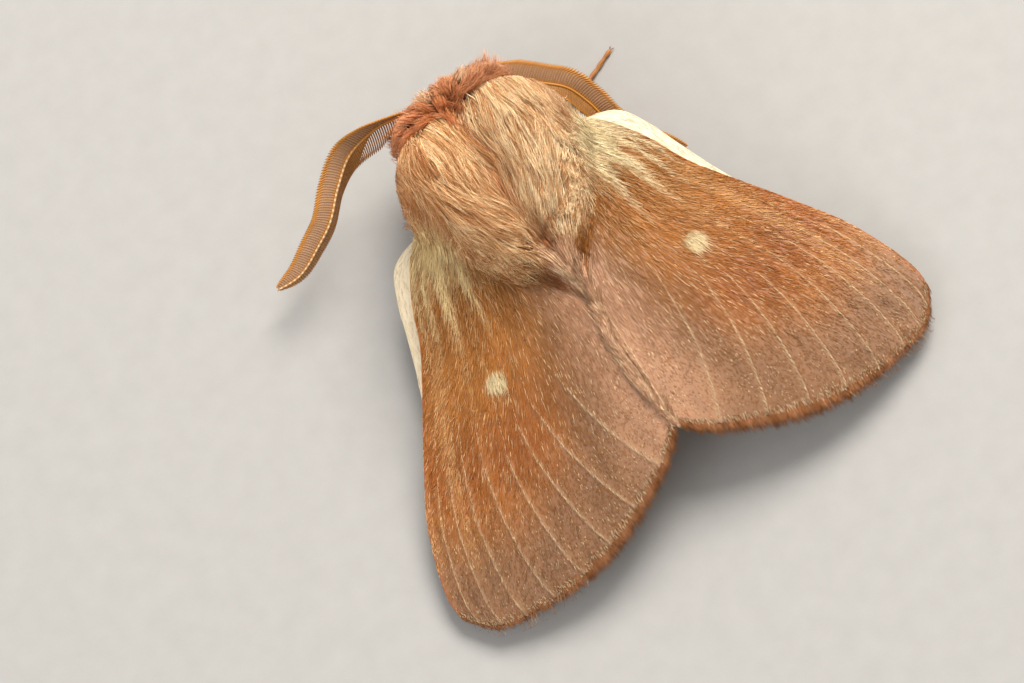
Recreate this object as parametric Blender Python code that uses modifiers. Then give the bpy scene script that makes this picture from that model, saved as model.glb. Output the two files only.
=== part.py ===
"""A male eggar moth at rest, life size, as a museum would show it.

The moth faces -Y, its left side is +X, and it stands on six feet on the floor, z = 0.
The forewings lie over the hindwings as a low roof.  The left feeler is stretched out
sideways and the right one is swept back under the hindwing's lobe.

Every size below is in millimetres, and MM turns it into Blender's metres.  A place is
(across, along, up): across counts outwards from the midline, and side, +1 for the left
and -1 for the right, gives its sign.  Solids of furred parts have the coat's outer form.
"""

import math

import bmesh
import bpy
from mathutils import Vector

MM = 0.001
LEFT, RIGHT = 1, -1
SIDES = {"left": LEFT, "right": RIGHT}

SEAM = 0.15  # gap between two neighbouring pieces
BACK_SHIFT = 0.58  # moves the whole moth along Y, so that its box is centred on the origin

# The wings' roof: height of the forewings' upper face
RIDGE_HEIGHT = 6.3  # over the midline, level with the wings' spots
RIDGE_FALL = 0.16  # per millimetre towards the tail
RIDGE_BEND = 0.012
ROOF_SLOPE = 0.40  # fall per millimetre outwards
SLOPE_EASING = 0.018  # the roof flattens towards the tail
CAMBER = 0.35  # how far each wing arches above a straight slope
REACH = 9.3  # costa's distance from the midline, level with the spots
REACH_GROWTH = 0.6
REACH_BEND = 0.018

WING_THICKNESS = 0.5
HINDWING_DROP = 0.78  # the hindwing's upper face below the forewing's

# Wing outlines in plan, (across, along), each edge from the root outwards
FOREWING = {
    "costa": [
        (3.0, -7.2), (5.05, -6.0), (6.35, -4.25), (7.35, -2.1), (8.8, 0.0),
        (10.35, 2.2), (11.7, 4.35), (12.75, 7.3), (12.7, 8.9),
    ],
    "termen": [(12.7, 8.9), (11.6, 10.3), (9.4, 10.95), (6.6, 10.95), (3.7, 10.2), (1.4, 9.1), (0.3, 8.1)],
    "dorsum": [(2.2, -5.4), (1.0, -2.5), (0.3, 1.0), (0.28, 5.0), (0.3, 8.1)],
    "root": [(3.0, -7.2), (2.2, -5.4)],
}
HINDWING = {
    "costa": [
        (2.9, -6.4), (4.9, -6.6), (6.2, -6.3), (6.95, -5.05), (7.5, -3.5),
        (8.1, -1.85), (8.95, 0.2), (10.1, 3.6), (10.4, 6.6),
    ],
    "termen": [(10.4, 6.6), (9.3, 8.3), (7.0, 9.1), (4.6, 8.6), (3.0, 7.0)],
    "dorsum": [(2.3, -4.2), (2.2, 0.0), (2.4, 4.0), (3.0, 7.0)],
    "root": [(2.9, -6.4), (2.3, -4.2)],
}

# Furred bodies as rings from front to tail: (along, half width, lowest, highest)
THORAX_RINGS = [
    (-9.85, 0.0, 5.3, 5.3),
    (-9.6, 3.05, 3.3, 7.2),
    (-8.8, 4.3, 2.5, 7.9),
    (-7.6, 4.85, 2.1, 8.4),
    (-6.2, 5.0, 1.9, 8.7),
    (-4.7, 4.8, 1.9, 8.7),
    (-3.2, 4.1, 2.4, 8.4),
    (-1.8, 2.9, 3.2, 8.0),
    (-0.7, 1.6, 4.5, 7.45),
    (0.4, 0.0, 6.6, 6.6),
]
THORAX_PARTING = 0.9  # depth of the groove between the two shoulder tufts
THORAX_TUFTS = 0.65  # how far the two tufts rise beside it
THORAX_KEEL = 0.30  # share by which the breast is narrower than the back
COLLAR_RINGS = [
    (-9.2, 0.0, 5.0, 5.0),
    (-9.5, 2.6, 3.0, 7.2),
    (-10.0, 3.35, 2.5, 7.6),
    (-10.5, 3.25, 2.4, 7.3),
    (-10.95, 2.6, 2.7, 6.6),
    (-11.15, 0.0, 4.8, 4.8),
]
HEAD_RINGS = [
    (-10.2, 0.0, 4.2, 4.2),
    (-10.4, 1.8, 2.5, 6.0),
    (-10.8, 2.35, 2.0, 6.2),
    (-11.3, 2.25, 1.8, 5.5),
    (-11.7, 1.7, 2.0, 4.7),
    (-11.9, 0.0, 3.3, 3.3),
]
ABDOMEN_RINGS = [
    (-2.6, 0.0, 3.6, 3.6),
    (-2.3, 2.0, 2.1, 4.9),
    (-1.0, 2.6, 1.6, 5.3),
    (0.8, 2.75, 1.4, 5.35),
    (2.6, 2.65, 1.3, 5.0),
    (4.2, 2.35, 1.3, 4.6),
    (5.6, 1.85, 1.4, 4.1),
    (6.7, 1.2, 1.7, 3.6),
    (7.2, 0.0, 2.6, 2.6),
]

EYE_CENTRE = (1.75, -10.9, 3.65)
EYE_RADIUS = 0.82
PALP = [(0.45, -11.2, 2.3), (0.55, -12.15, 1.8)]
PALP_RADIUS = 0.34

# Feelers: the line of the shaft, and the breadth of the comb across it
FEELER_PATHS = {
    "left": [
        (1.4, -11.25, 4.8),
        (3.3, -11.35, 4.85),
        (5.0, -11.42, 4.5),
        (6.3, -10.85, 4.1),
        (7.55, -9.85, 3.6),
        (8.6, -9.4, 3.15),
        (9.9, -8.95, 2.65),
        (11.15, -8.95, 2.35),
    ],
    "right": [
        (1.6, -11.2, 4.7),
        (2.5, -10.8, 4.35),
        (3.4, -10.2, 3.9),
        (4.3, -9.5, 3.4),
        (5.15, -8.7, 3.0),
        (5.6, -7.6, 2.5),
        (5.85, -6.4, 2.05),
        (6.45, -5.05, 1.7),
        (7.8, -3.4, 1.35),
    ],
}
FEELER_BREADTH = 1.25
FEELER_THICKNESS = 0.5
FEELER_LEAN = 0.35  # tilt of the comb, its rear edge lower

# Legs: hip, knee, ankle and toe of each, the toe resting on the floor
LEGS = {
    "foreleg_left": [(1.1, -9.0, 2.1), (3.1, -10.1, 2.2), (3.7, -8.6, 0.8), (3.9, -10.6, 0.28)],
    "foreleg_right": [(1.1, -9.0, 2.1), (3.3, -10.1, 2.2), (5.2, -9.0, 0.8), (7.85, -10.1, 0.28)],
    "midleg_left": [(1.2, -7.0, 1.7), (3.9, -7.4, 2.2), (5.2, -5.8, 0.8), (6.5, -3.9, 0.28)],
    "midleg_right": [(1.2, -7.0, 1.7), (3.9, -7.4, 2.2), (5.1, -5.7, 0.7), (6.3, -3.8, 0.28)],
    "hindleg_left": [(1.2, -4.6, 1.7), (3.6, -3.0, 2.0), (4.7, 0.7, 0.7), (5.5, 3.8, 0.28)],
    "hindleg_right": [(1.2, -4.6, 1.7), (3.6, -3.0, 2.0), (4.7, 0.7, 0.7), (5.5, 3.8, 0.28)],
}
THIGH_RADIUS = 0.55
SHIN_RADIUS = 0.52
FOOT_RADIUS = 0.3

CHESTNUT = (0.42, 0.20, 0.09)
FAWN = (0.62, 0.40, 0.22)
RUST = (0.45, 0.17, 0.07)
CREAM = (0.80, 0.70, 0.52)
AMBER = (0.55, 0.29, 0.08)
DARK_EYE = (0.03, 0.02, 0.015)


def collection(name):
    made = bpy.data.collections.new(name)
    bpy.context.scene.collection.children.link(made)
    return made


def put_in(obj, group):
    """Moves a new object from the active collection to the given one."""
    for old in list(obj.users_collection):
        old.objects.unlink(obj)
    group.objects.link(obj)
    return obj


def finish(obj, colour, roughness=0.85):
    """Gives the object a material of its own, in plain paint."""
    material = bpy.data.materials.new(obj.name)
    material.use_nodes = True
    shader = material.node_tree.nodes["Principled BSDF"]
    shader.inputs["Base Color"].default_value = (*colour, 1.0)
    shader.inputs["Roughness"].default_value = roughness
    shader.inputs["Metallic"].default_value = 0.0
    obj.data.materials.append(material)
    return obj


def place(side, across, along, up):
    """A place in metres from its three distances in millimetres."""
    return Vector((side * across, along + BACK_SHIFT, up)) * MM


def on_curve(points, share):
    """The point at a share of the way along a smooth Catmull-Rom curve through points."""
    knots = [Vector(p) for p in points]
    if len(knots) == 2:
        return knots[0].lerp(knots[1], share)
    lengths = [(b - a).length for a, b in zip(knots, knots[1:])]
    left = share * sum(lengths)
    span = 0
    while span < len(lengths) - 1 and left > lengths[span]:
        left -= lengths[span]
        span += 1
    t = min(1.0, left / lengths[span])
    start, end = knots[span], knots[span + 1]
    before = knots[span - 1] if span else 2 * start - end
    after = knots[span + 2] if span + 2 < len(knots) else 2 * end - start
    here = lengths[span]
    lead_in = (end - before) * (here / (here + (start - before).length))
    lead_out = (after - start) * (here / (here + (after - end).length))
    return (
        (2 * t**3 - 3 * t**2 + 1) * start
        + (t**3 - 2 * t**2 + t) * lead_in
        + (3 * t**2 - 2 * t**3) * end
        + (t**3 - t**2) * lead_out
    )


def roof(across, along):
    """Height of the forewings' upper face: a ridge that falls towards the tail, with sides
    that slope outwards and arch a little."""
    ridge = RIDGE_HEIGHT - RIDGE_FALL * along - RIDGE_BEND * along**2
    slope = ROOF_SLOPE - SLOPE_EASING * along
    reach = REACH + REACH_GROWTH * along - REACH_BEND * along**2
    share = min(1.0, max(0.0, across / reach))
    return ridge - slope * across + CAMBER * math.sin(math.pi * share)


def plan_of(outline, outwards, backwards):
    """A Coons patch: the place in plan at two shares, from the root outwards and from the
    costa back to the dorsum, blended from the outline's four edges."""
    costa = on_curve(outline["costa"], outwards)
    dorsum = on_curve(outline["dorsum"], outwards)
    root = on_curve(outline["root"], backwards)
    termen = on_curve(outline["termen"], backwards)
    corners = [
        Vector(outline["costa"][0]),
        Vector(outline["dorsum"][0]),
        Vector(outline["costa"][-1]),
        Vector(outline["dorsum"][-1]),
    ]
    near = corners[0].lerp(corners[1], backwards)
    far = corners[2].lerp(corners[3], backwards)
    return (
        costa.lerp(dorsum, backwards)
        + root.lerp(termen, outwards)
        - near.lerp(far, outwards)
    )


def grid(name, columns, rows, place_of, group):
    """A grid whose corners run over two shares from 0 to 1, each sent to place_of(a, b)."""
    bpy.ops.mesh.primitive_grid_add(x_subdivisions=columns, y_subdivisions=rows, size=2)
    obj = put_in(bpy.context.active_object, group)
    obj.name = name
    for vertex in obj.data.vertices:
        vertex.co = place_of((vertex.co.x + 1) / 2, (vertex.co.y + 1) / 2)
    return obj


def face_up(obj):
    """Turns an open sheet so that its faces look up."""
    obj.data.update()
    if sum(face.normal.z * face.area for face in obj.data.polygons) < 0:
        obj.data.flip_normals()


def thicken(obj, thickness, offset):
    solidify = obj.modifiers.new("thickness", "SOLIDIFY")
    solidify.thickness = thickness * MM
    solidify.offset = offset
    solidify.use_even_offset = False


def wing(name, side, outline, drop, cells, group):
    """One wing: its outline on the roof, lowered by drop, and thickened downwards."""

    def place_of(outwards, backwards):
        across, along = plan_of(outline, outwards, backwards)
        return place(side, across, along, roof(across, along) - drop)

    obj = grid(name, *cells, place_of, group)
    face_up(obj)
    thicken(obj, WING_THICKNESS, -1)
    return obj


def ringed_body(name, rings, segments, group, parting=0.0, tufts=0.0, keel=0.0):
    """A closed furred form: a sphere whose rings take their place, width and height from
    rings, smoothed by one subdivision.  parting sinks the line along the back, tufts raise
    it on both sides of that line, and keel narrows the underside."""
    last = len(rings) - 1
    widest = max(half_width for _, half_width, _, _ in rings)
    bpy.ops.mesh.primitive_uv_sphere_add(segments=segments, ring_count=last)
    obj = put_in(bpy.context.active_object, group)
    obj.name = name
    for vertex in obj.data.vertices:
        ring = round(math.acos(max(-1.0, min(1.0, vertex.co.z))) * last / math.pi)
        along, half_width, lowest, highest = rings[ring]
        round_the_ring = math.atan2(vertex.co.y, vertex.co.x)
        outwards, upwards = math.cos(round_the_ring), math.sin(round_the_ring)
        across = half_width * outwards * (1 - keel * max(0.0, -upwards))
        up = (highest + lowest) / 2 + (highest - lowest) / 2 * upwards
        if upwards > 0:
            up += tufts * math.sin(2 * round_the_ring) ** 2 * half_width / widest
            if abs(outwards) < 0.01 and half_width > 0:
                up -= parting
        vertex.co = place(LEFT, across, along, up)
    make_outward(obj)
    smooth = obj.modifiers.new("round", "SUBSURF")
    smooth.levels = smooth.render_levels = 1
    obj.data.shade_smooth()
    return obj


def make_outward(obj):
    """Recalculates the normals of a closed mesh so that they face outwards."""
    shape = bmesh.new()
    shape.from_mesh(obj.data)
    bmesh.ops.recalc_face_normals(shape, faces=shape.faces)
    shape.to_mesh(obj.data)
    shape.free()


def limb(name, side, path, radii, group, segments=8):
    """A spindle along a path: a sphere whose rings are spread along it, with the given
    radii at the start, middle and end.  What would sink into the floor is flattened."""
    rings = 2 * len(path) + 2
    bpy.ops.mesh.primitive_uv_sphere_add(segments=segments, ring_count=rings)
    obj = put_in(bpy.context.active_object, group)
    obj.name = name
    start, middle, end = radii
    for vertex in obj.data.vertices:
        share = (1 - vertex.co.z) / 2
        girth = math.hypot(vertex.co.x, vertex.co.y)
        centre = on_curve(path, share)
        ahead = on_curve(path, min(1.0, share + 0.02)) - on_curve(path, max(0.0, share - 0.02))
        sideways = ahead.cross(Vector((0, 0, 1))).normalized()
        upwards = sideways.cross(ahead).normalized()
        bulge = 4 * share * (1 - share)
        radius = (start + (end - start) * share) * (1 - bulge) + middle * bulge
        spot = centre
        if girth > 0:
            reach = radius * girth**0.4
            spot = centre + reach * (vertex.co.x * sideways + vertex.co.y * upwards) / girth
        vertex.co = place(side, spot.x, spot.y, max(0.0, spot.z))
    make_outward(obj)
    obj.data.shade_smooth()
    return obj


def shortened(start, end):
    """The two ends of a stretch, each drawn in by half a seam."""
    start, end = Vector(start), Vector(end)
    step = (end - start).normalized() * (SEAM / 2)
    return [start + step, end - step]


def leg(name, side, joints, group):
    """Thigh, shin and foot of one leg, as three solids."""
    hip, knee, ankle, toe = joints
    thigh = limb(f"{name}_thigh", side, shortened(hip, knee), (0.45, THIGH_RADIUS, 0.4), group)
    shin = limb(f"{name}_shin", side, shortened(knee, ankle), (0.36, SHIN_RADIUS, 0.34), group)
    heel, tip = shortened(ankle, toe)
    landing = Vector((0.6 * heel.x + 0.4 * tip.x, 0.6 * heel.y + 0.4 * tip.y, 0.3))
    foot = limb(f"{name}_foot", side, [heel, landing, tip], (0.3, FOOT_RADIUS, 0.28), group)
    return [thigh, shin, foot]


def feeler(name, side, path, group):
    """One feeler: a long blade with the outline of its two combs, widest past its middle
    of the inner half, tapering to the tip."""

    def place_of(along_it, across_it):
        centre = on_curve(path, along_it)
        ahead = on_curve(path, min(1.0, along_it + 0.02)) - on_curve(path, max(0.0, along_it - 0.02))
        level = ahead.cross(Vector((0, 0, 1))).normalized()
        level.z -= FEELER_LEAN * math.copysign(1.0, level.y)
        swell = min(1.0, 0.42 + 4.0 * along_it) * (1 - 0.72 * along_it**1.7)
        spot = centre + level.normalized() * FEELER_BREADTH * swell * (across_it - 0.5)
        return place(side, *spot)

    obj = grid(name, 20, 3, place_of, group)
    face_up(obj)
    thicken(obj, FEELER_THICKNESS, 0)
    return obj


def ball(name, side, centre, radius, group, segments=14):
    bpy.ops.mesh.primitive_uv_sphere_add(
        segments=segments,
        ring_count=segments // 2 + 2,
        radius=radius * MM,
        location=place(side, *centre),
        rotation=(0, math.pi / 2, 0),
    )
    obj = put_in(bpy.context.active_object, group)
    obj.name = name
    obj.data.shade_smooth()
    return obj


def grown(obj, gap, group):
    """A cutter: a copy of the object's evaluated mesh, swollen by the gap."""
    graph = bpy.context.evaluated_depsgraph_get()
    mesh = bpy.data.meshes.new_from_object(obj.evaluated_get(graph))
    normals = [vertex.normal.copy() for vertex in mesh.vertices]
    for vertex, normal in zip(mesh.vertices, normals):
        vertex.co += normal * gap * MM
    cutter = bpy.data.objects.new(f"{obj.name}_cutter", mesh)
    cutter.matrix_world = obj.matrix_world
    cutter.hide_render = True
    cutter.display_type = "WIRE"
    group.objects.link(cutter)
    return cutter


def cut(obj, *cutters):
    for cutter in cutters:
        boolean = obj.modifiers.new(f"clear of {cutter.name}", "BOOLEAN")
        boolean.operation = "DIFFERENCE"
        boolean.solver = "EXACT"
        boolean.object = cutter


def build_body(parts, cutters):
    """Thorax, collar, head, abdomen, eyes and palps.  Returns the cutters that keep the
    legs, wings and feelers clear of them."""
    thorax = ringed_body("thorax", THORAX_RINGS, 16, parts, THORAX_PARTING, THORAX_TUFTS, THORAX_KEEL)
    collar = ringed_body("collar", COLLAR_RINGS, 12, parts)
    head = ringed_body("head", HEAD_RINGS, 12, parts)
    abdomen = ringed_body("abdomen", ABDOMEN_RINGS, 12, parts)
    clear = {body.name: grown(body, SEAM, cutters) for body in (thorax, collar, head, abdomen)}
    cut(collar, clear["thorax"])
    cut(head, clear["thorax"], clear["collar"])
    cut(abdomen, clear["thorax"])
    for word, side in SIDES.items():
        eye = ball(f"eye_{word}", side, EYE_CENTRE, EYE_RADIUS, parts)
        socket = grown(eye, SEAM, cutters)
        cut(head, socket)
        cut(collar, socket)
        finish(eye, DARK_EYE, 0.25)
        palp = limb(f"palp_{word}", side, [Vector(p) for p in PALP], (0.26, PALP_RADIUS, 0.27), parts, 10)
        cut(palp, clear["head"])
        finish(palp, RUST)
    finish(thorax, FAWN)
    finish(collar, RUST)
    finish(head, RUST)
    finish(abdomen, CHESTNUT)
    return clear


def build_wings(parts, clear):
    for word, side in SIDES.items():
        forewing = wing(f"forewing_{word}", side, FOREWING, 0.0, (17, 11), parts)
        cut(forewing, clear["thorax"])
        finish(forewing, CHESTNUT, 0.7)
        hindwing = wing(f"hindwing_{word}", side, HINDWING, HINDWING_DROP, (15, 8), parts)
        cut(hindwing, clear["thorax"], clear["abdomen"])
        finish(hindwing, CREAM, 0.7)


def build_limbs(parts, clear):
    for word, side in SIDES.items():
        blade = feeler(f"feeler_{word}", side, FEELER_PATHS[word], parts)
        cut(blade, clear["head"], clear["collar"], clear["thorax"])
        finish(blade, AMBER, 0.5)
    for name, joints in LEGS.items():
        side = SIDES[name.split("_")[1]]
        for piece in leg(name, side, joints, parts):
            cut(piece, clear["thorax"], clear["abdomen"])
            finish(piece, CHESTNUT)


def main():
    for obj in list(bpy.data.objects):
        bpy.data.objects.remove(obj)
    parts = collection("moth")
    cutters = collection("cutters")
    clear = build_body(parts, cutters)
    build_wings(parts, clear)
    build_limbs(parts, clear)


main()
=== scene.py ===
# %% [markdown]
# # An eggar moth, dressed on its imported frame
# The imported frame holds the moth's plain solids at their true size.  This lesson makes the
# looks around them: a skin, fur made of real mesh, scaled wings with raised veins and fringes,
# combed feelers and faceted eyes.  Everything rides on the frame's one body.

import math
from functools import partial

import bpy
import numpy as np
from mathutils import Matrix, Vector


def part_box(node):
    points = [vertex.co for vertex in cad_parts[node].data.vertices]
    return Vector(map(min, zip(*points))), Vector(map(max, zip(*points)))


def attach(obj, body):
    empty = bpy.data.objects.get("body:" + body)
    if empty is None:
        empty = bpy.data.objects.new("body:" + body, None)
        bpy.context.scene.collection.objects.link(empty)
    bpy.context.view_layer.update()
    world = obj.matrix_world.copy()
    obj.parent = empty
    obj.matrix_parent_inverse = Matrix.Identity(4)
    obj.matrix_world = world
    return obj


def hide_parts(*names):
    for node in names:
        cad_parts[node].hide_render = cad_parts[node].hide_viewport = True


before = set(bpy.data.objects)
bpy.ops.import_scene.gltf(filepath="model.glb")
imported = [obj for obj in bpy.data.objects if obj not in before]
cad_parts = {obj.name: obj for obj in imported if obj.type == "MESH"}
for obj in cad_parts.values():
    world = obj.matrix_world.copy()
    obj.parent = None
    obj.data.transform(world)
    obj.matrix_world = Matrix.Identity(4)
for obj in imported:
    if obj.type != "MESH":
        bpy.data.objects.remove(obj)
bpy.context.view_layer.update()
print("frame:", len(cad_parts), "solids")

# %% [markdown]
# ## Units and small helpers
# A moth is measured in millimetres, and Blender works in metres.  So every shape below is
# worked out in millimetres, and only the step that fills the mesh turns it into metres.

# %% Helpers for numbers
MM = 0.001
LEFT, RIGHT = 1, -1
SIDES = {"left": LEFT, "right": RIGHT}
TURN = 2 * math.pi
UP = np.array([0.0, 0.0, 1.0])


def node_box(*nodes):
    """Lowest and highest corner, in millimetres, of one or more solids of the frame."""
    corners = np.array([[list(corner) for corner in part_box(node)] for node in nodes]) / MM
    return corners[:, 0].min(0), corners[:, 1].max(0)


def ramp(value, start, end):
    """0 before start, 1 after end, and a smooth S between them: 3t^2 - 2t^3."""
    t = np.clip((value - start) / (end - start), 0, 1)
    return t * t * (3 - 2 * t)


def fall(value, start, end):
    """1 before start, 0 after end: what a ramp leaves of 1."""
    return 1 - ramp(value, start, end)


def bell(offset, width):
    """1 at offset 0 and falling off on both sides: exp(-(offset / width)^2)."""
    return np.exp(-((offset / width) ** 2))


def shares(count):
    """Even shares from 0 to 1."""
    return np.linspace(0, 1, count)


def mix(first, second, share):
    """Between two colours, or two arrays of them, by an array of shares."""
    share = np.asarray(share)[..., None]
    return np.asarray(first) * (1 - share) + np.asarray(second) * share


def unit(vectors):
    """The vectors, each divided by its own length."""
    return vectors / np.maximum(np.linalg.norm(vectors, axis=-1, keepdims=True), 1e-9)


def on_curve(points, share):
    """A smooth Catmull-Rom curve through points, read at a share of its chord length.
    Between two knots it is Hermite's cubic, whose slopes come from the knots on both sides."""
    knots = np.asarray(points, float)
    share = np.clip(np.asarray(share, float), 0, 1)
    if len(knots) == 2:
        return knots[0] + (knots[1] - knots[0]) * share[..., None]
    spans = np.linalg.norm(np.diff(knots, axis=0), axis=1)
    marks = np.concatenate([[0], np.cumsum(spans)])
    place = share * marks[-1]
    span = np.clip(np.searchsorted(marks, place, side="right") - 1, 0, len(spans) - 1)
    t = ((place - marks[span]) / spans[span])[..., None]
    padded = np.vstack([2 * knots[0] - knots[1], knots, 2 * knots[-1] - knots[-2]])
    lengths = np.concatenate([spans[:1], spans, spans[-1:]])[..., None]
    before, start, end, after = (padded[span + i] for i in range(4))
    here = lengths[span + 1]
    lead_in = (end - before) * here / (here + lengths[span])
    lead_out = (after - start) * here / (here + lengths[span + 2])
    return (
        (2 * t**3 - 3 * t**2 + 1) * start
        + (t**3 - 2 * t**2 + t) * lead_in
        + (3 * t**2 - 2 * t**3) * end
        + (t**3 - t**2) * lead_out
    )


print("1 mm is", MM, "m")

# %% [markdown]
# ## From arrays to meshes
# A mesh needs points, faces and here a few values on each point: its colour in the pattern, how
# far it lies from a hair's root to its tip, and a chance tone.  They are stored as named
# attributes, which the materials read.

# %% Helpers for meshes
def square_grid(first, second):
    """Two flat arrays that hold every pair of the two ranges' values, the second one faster."""
    return (values.ravel() for values in np.meshgrid(first, second, indexing="ij"))


def grid_quads(rows, columns, closed=False):
    """Quads of a grid whose points run row by row.  closed joins the last column to the first.
    Each quad turns from row to next row and then to the next column."""
    row, column = square_grid(np.arange(rows - 1), np.arange(columns if closed else columns - 1))
    beside = (column + 1) % columns
    here, there = row * columns, (row + 1) * columns
    return np.stack([here + column, there + column, there + beside, here + beside], 1)


def build(name, points, faces, layers=None, bake_map=None, smooth=True):
    """A mesh object from points in millimetres and a list of face arrays.  layers names the
    values stored on the points: one number each, or a colour of three."""
    mesh = bpy.data.meshes.new(name)
    corners = np.concatenate([f.ravel() for f in faces]).astype(np.int32)
    sizes = np.concatenate([np.full(len(f), f.shape[1]) for f in faces])
    mesh.vertices.add(len(points))
    mesh.vertices.foreach_set("co", (np.asarray(points) * MM).astype(np.float32).ravel())
    mesh.loops.add(len(corners))
    mesh.loops.foreach_set("vertex_index", corners)
    mesh.polygons.add(len(sizes))
    mesh.polygons.foreach_set("loop_start", (np.cumsum(sizes) - sizes).astype(np.int32))
    mesh.update(calc_edges=True)
    mesh.polygons.foreach_set("use_smooth", np.full(len(sizes), smooth))
    for layer, values in (layers or {}).items():
        values = np.asarray(values, np.float32)
        coloured = values.ndim == 2
        stored = mesh.attributes.new(layer, "FLOAT_COLOR" if coloured else "FLOAT", "POINT")
        if coloured:
            values = np.hstack([values, np.ones((len(values), 1))])
        stored.data.foreach_set("color" if coloured else "value", values.ravel())
    if bake_map is not None:
        map_layer = mesh.uv_layers.new(name="OFBake")
        map_layer.data.foreach_set("uv", bake_map[corners].astype(np.float32).ravel())
    obj = bpy.data.objects.new(name, mesh)
    bpy.context.scene.collection.objects.link(obj)
    return obj


def adopt(obj, material, slot, *nodes):
    """Gives a finished piece its material, and lets it ride on the frame's body in place of the
    given solids.  slot is not used."""
    obj.data.materials.append(material)
    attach(obj, "root")
    if nodes:
        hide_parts(*nodes)
    print(f"{obj.name}: {len(obj.data.polygons)} faces")
    return obj


print("helpers for meshes are ready")

# %% [markdown]
# ## Spindles: one shape for every hair, scale and comb tooth
# Fur on a moth is made of long flattened scales and hairs.  Particle hair would do for a
# picture, but a reusable model needs real mesh.  So each hair is a thin closed spindle: rings of
# three points along a centre line, a capped root and one point for the tip.

# %% The spindle builder
PATCH = 0.003  # width of a tuft's patch on the bake map
SMOOTH_FROM = 0.6  # spindles flatter than this are shaded flat, as scales are


def spindles(name, lines, radii, facing, layers, tuft_map=None, sides=3, flat=1.0):
    """Closed spindles round many centre lines at once.

    lines is (hairs, steps, 3); the last step is the tip.  radii is (hairs, steps).  facing is
    a direction for each hair that its rings turn one flat side to.  A ring's point is: centre +
    radius * (cos(angle) * sideways + flat * sin(angle) * outwards), so a low flat makes scales,
    whose faces are shaded flat.  layers are values per hair and step, or (hairs, 1) for one
    value a hair, and tuft_map is its place on the bake map."""
    hairs, steps = lines.shape[:2]
    ahead = unit(np.gradient(lines, axis=1))
    sideways = unit(np.cross(ahead, facing[:, None, :]))
    outwards = np.cross(sideways, ahead)
    angle = TURN * (np.arange(sides) + 0.25) / sides
    ring = sideways[:, :-1, None] * np.cos(angle)[:, None]
    ring = ring + flat * outwards[:, :-1, None] * np.sin(angle)[:, None]
    rings = lines[:, :-1, None] + radii[:, :-1, None, None] * ring
    points = np.concatenate([rings.reshape(hairs, -1, 3), lines[:, -1:]], axis=1)
    each = points.shape[1]
    last, tip = (steps - 2) * sides, each - 1
    around = np.arange(sides)
    walls = grid_quads(steps - 1, sides, closed=True)
    cone = np.stack([last + around, np.full(sides, tip), last + (around + 1) % sides], 1)
    root_cap = around[None, :]
    first = (np.arange(hairs) * each)[:, None, None]
    faces = [(shape + first).reshape(-1, shape.shape[1]) for shape in (walls, cone, root_cap)]
    spread = np.concatenate([np.repeat(np.arange(steps - 1), sides), [steps - 1]])
    stored = {}
    for layer, values in layers.items():
        values = np.asarray(values)
        whole = np.broadcast_to(values, (hairs, steps, *values.shape[2:]))
        stored[layer] = whole[:, spread].reshape(hairs * each, *values.shape[2:])
    flat_map = None
    if tuft_map is not None:
        along = np.linspace(-0.5, 0.5, steps)[spread]
        across = np.concatenate([np.tile(np.linspace(-0.5, 0.5, sides), steps - 1), [0]])
        flat_map = (tuft_map[:, None] + PATCH * np.stack([across, along], 1)).reshape(-1, 2)
    return build(name, points.reshape(-1, 3), faces, stored, flat_map, smooth=flat > SMOOTH_FROM)


print("spindle builder is ready")

# %% [markdown]
# ## The coat's own surfaces
# Thorax, collar, head and abdomen are each a row of rings from end to end: where the ring
# sits, its half width, and its lowest and highest point.  A smooth curve through the rows gives
# a surface of two parameters, along and around.  The frame's box then sets its true size, so
# the coat ends where the solid ends.

# %% Rings of the furred bodies
THORAX = [
    (-9.85, 0.0, 5.3, 5.3), (-9.6, 3.05, 3.3, 7.2), (-8.8, 4.3, 2.5, 7.9), (-7.6, 4.9, 2.1, 8.4),
    (-6.2, 5.0, 1.9, 8.7), (-4.7, 4.55, 1.9, 8.7), (-3.2, 3.75, 2.4, 8.4), (-1.8, 2.75, 3.2, 8.0),
    (-0.7, 1.6, 4.5, 7.45), (0.4, 0.0, 6.6, 6.6),
]
COLLAR = [
    (-9.2, 0.0, 5.0, 5.0), (-9.5, 2.6, 3.0, 7.2), (-10.0, 3.35, 2.5, 7.6), (-10.5, 3.25, 2.4, 7.3),
    (-10.95, 2.6, 2.7, 6.6), (-11.15, 0.0, 4.8, 4.8),
]
HEAD = [
    (-10.2, 0.0, 4.2, 4.2), (-10.4, 1.8, 2.5, 6.0), (-10.8, 2.35, 2.0, 6.2), (-11.3, 2.25, 1.8, 5.5),
    (-11.7, 1.7, 2.0, 4.7), (-11.9, 0.0, 3.3, 3.3),
]
ABDOMEN = [
    (-2.6, 0.0, 3.6, 3.6), (-2.3, 2.0, 2.1, 4.9), (-1.0, 2.6, 1.6, 5.3), (0.8, 2.75, 1.4, 5.35),
    (2.6, 2.65, 1.3, 5.0), (4.2, 2.35, 1.3, 4.6), (5.6, 1.85, 1.4, 4.1), (6.7, 1.2, 1.7, 3.6),
    (7.2, 0.0, 2.6, 2.6),
]
FRONT, REAR, BOTH = -1, 1, 0


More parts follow.
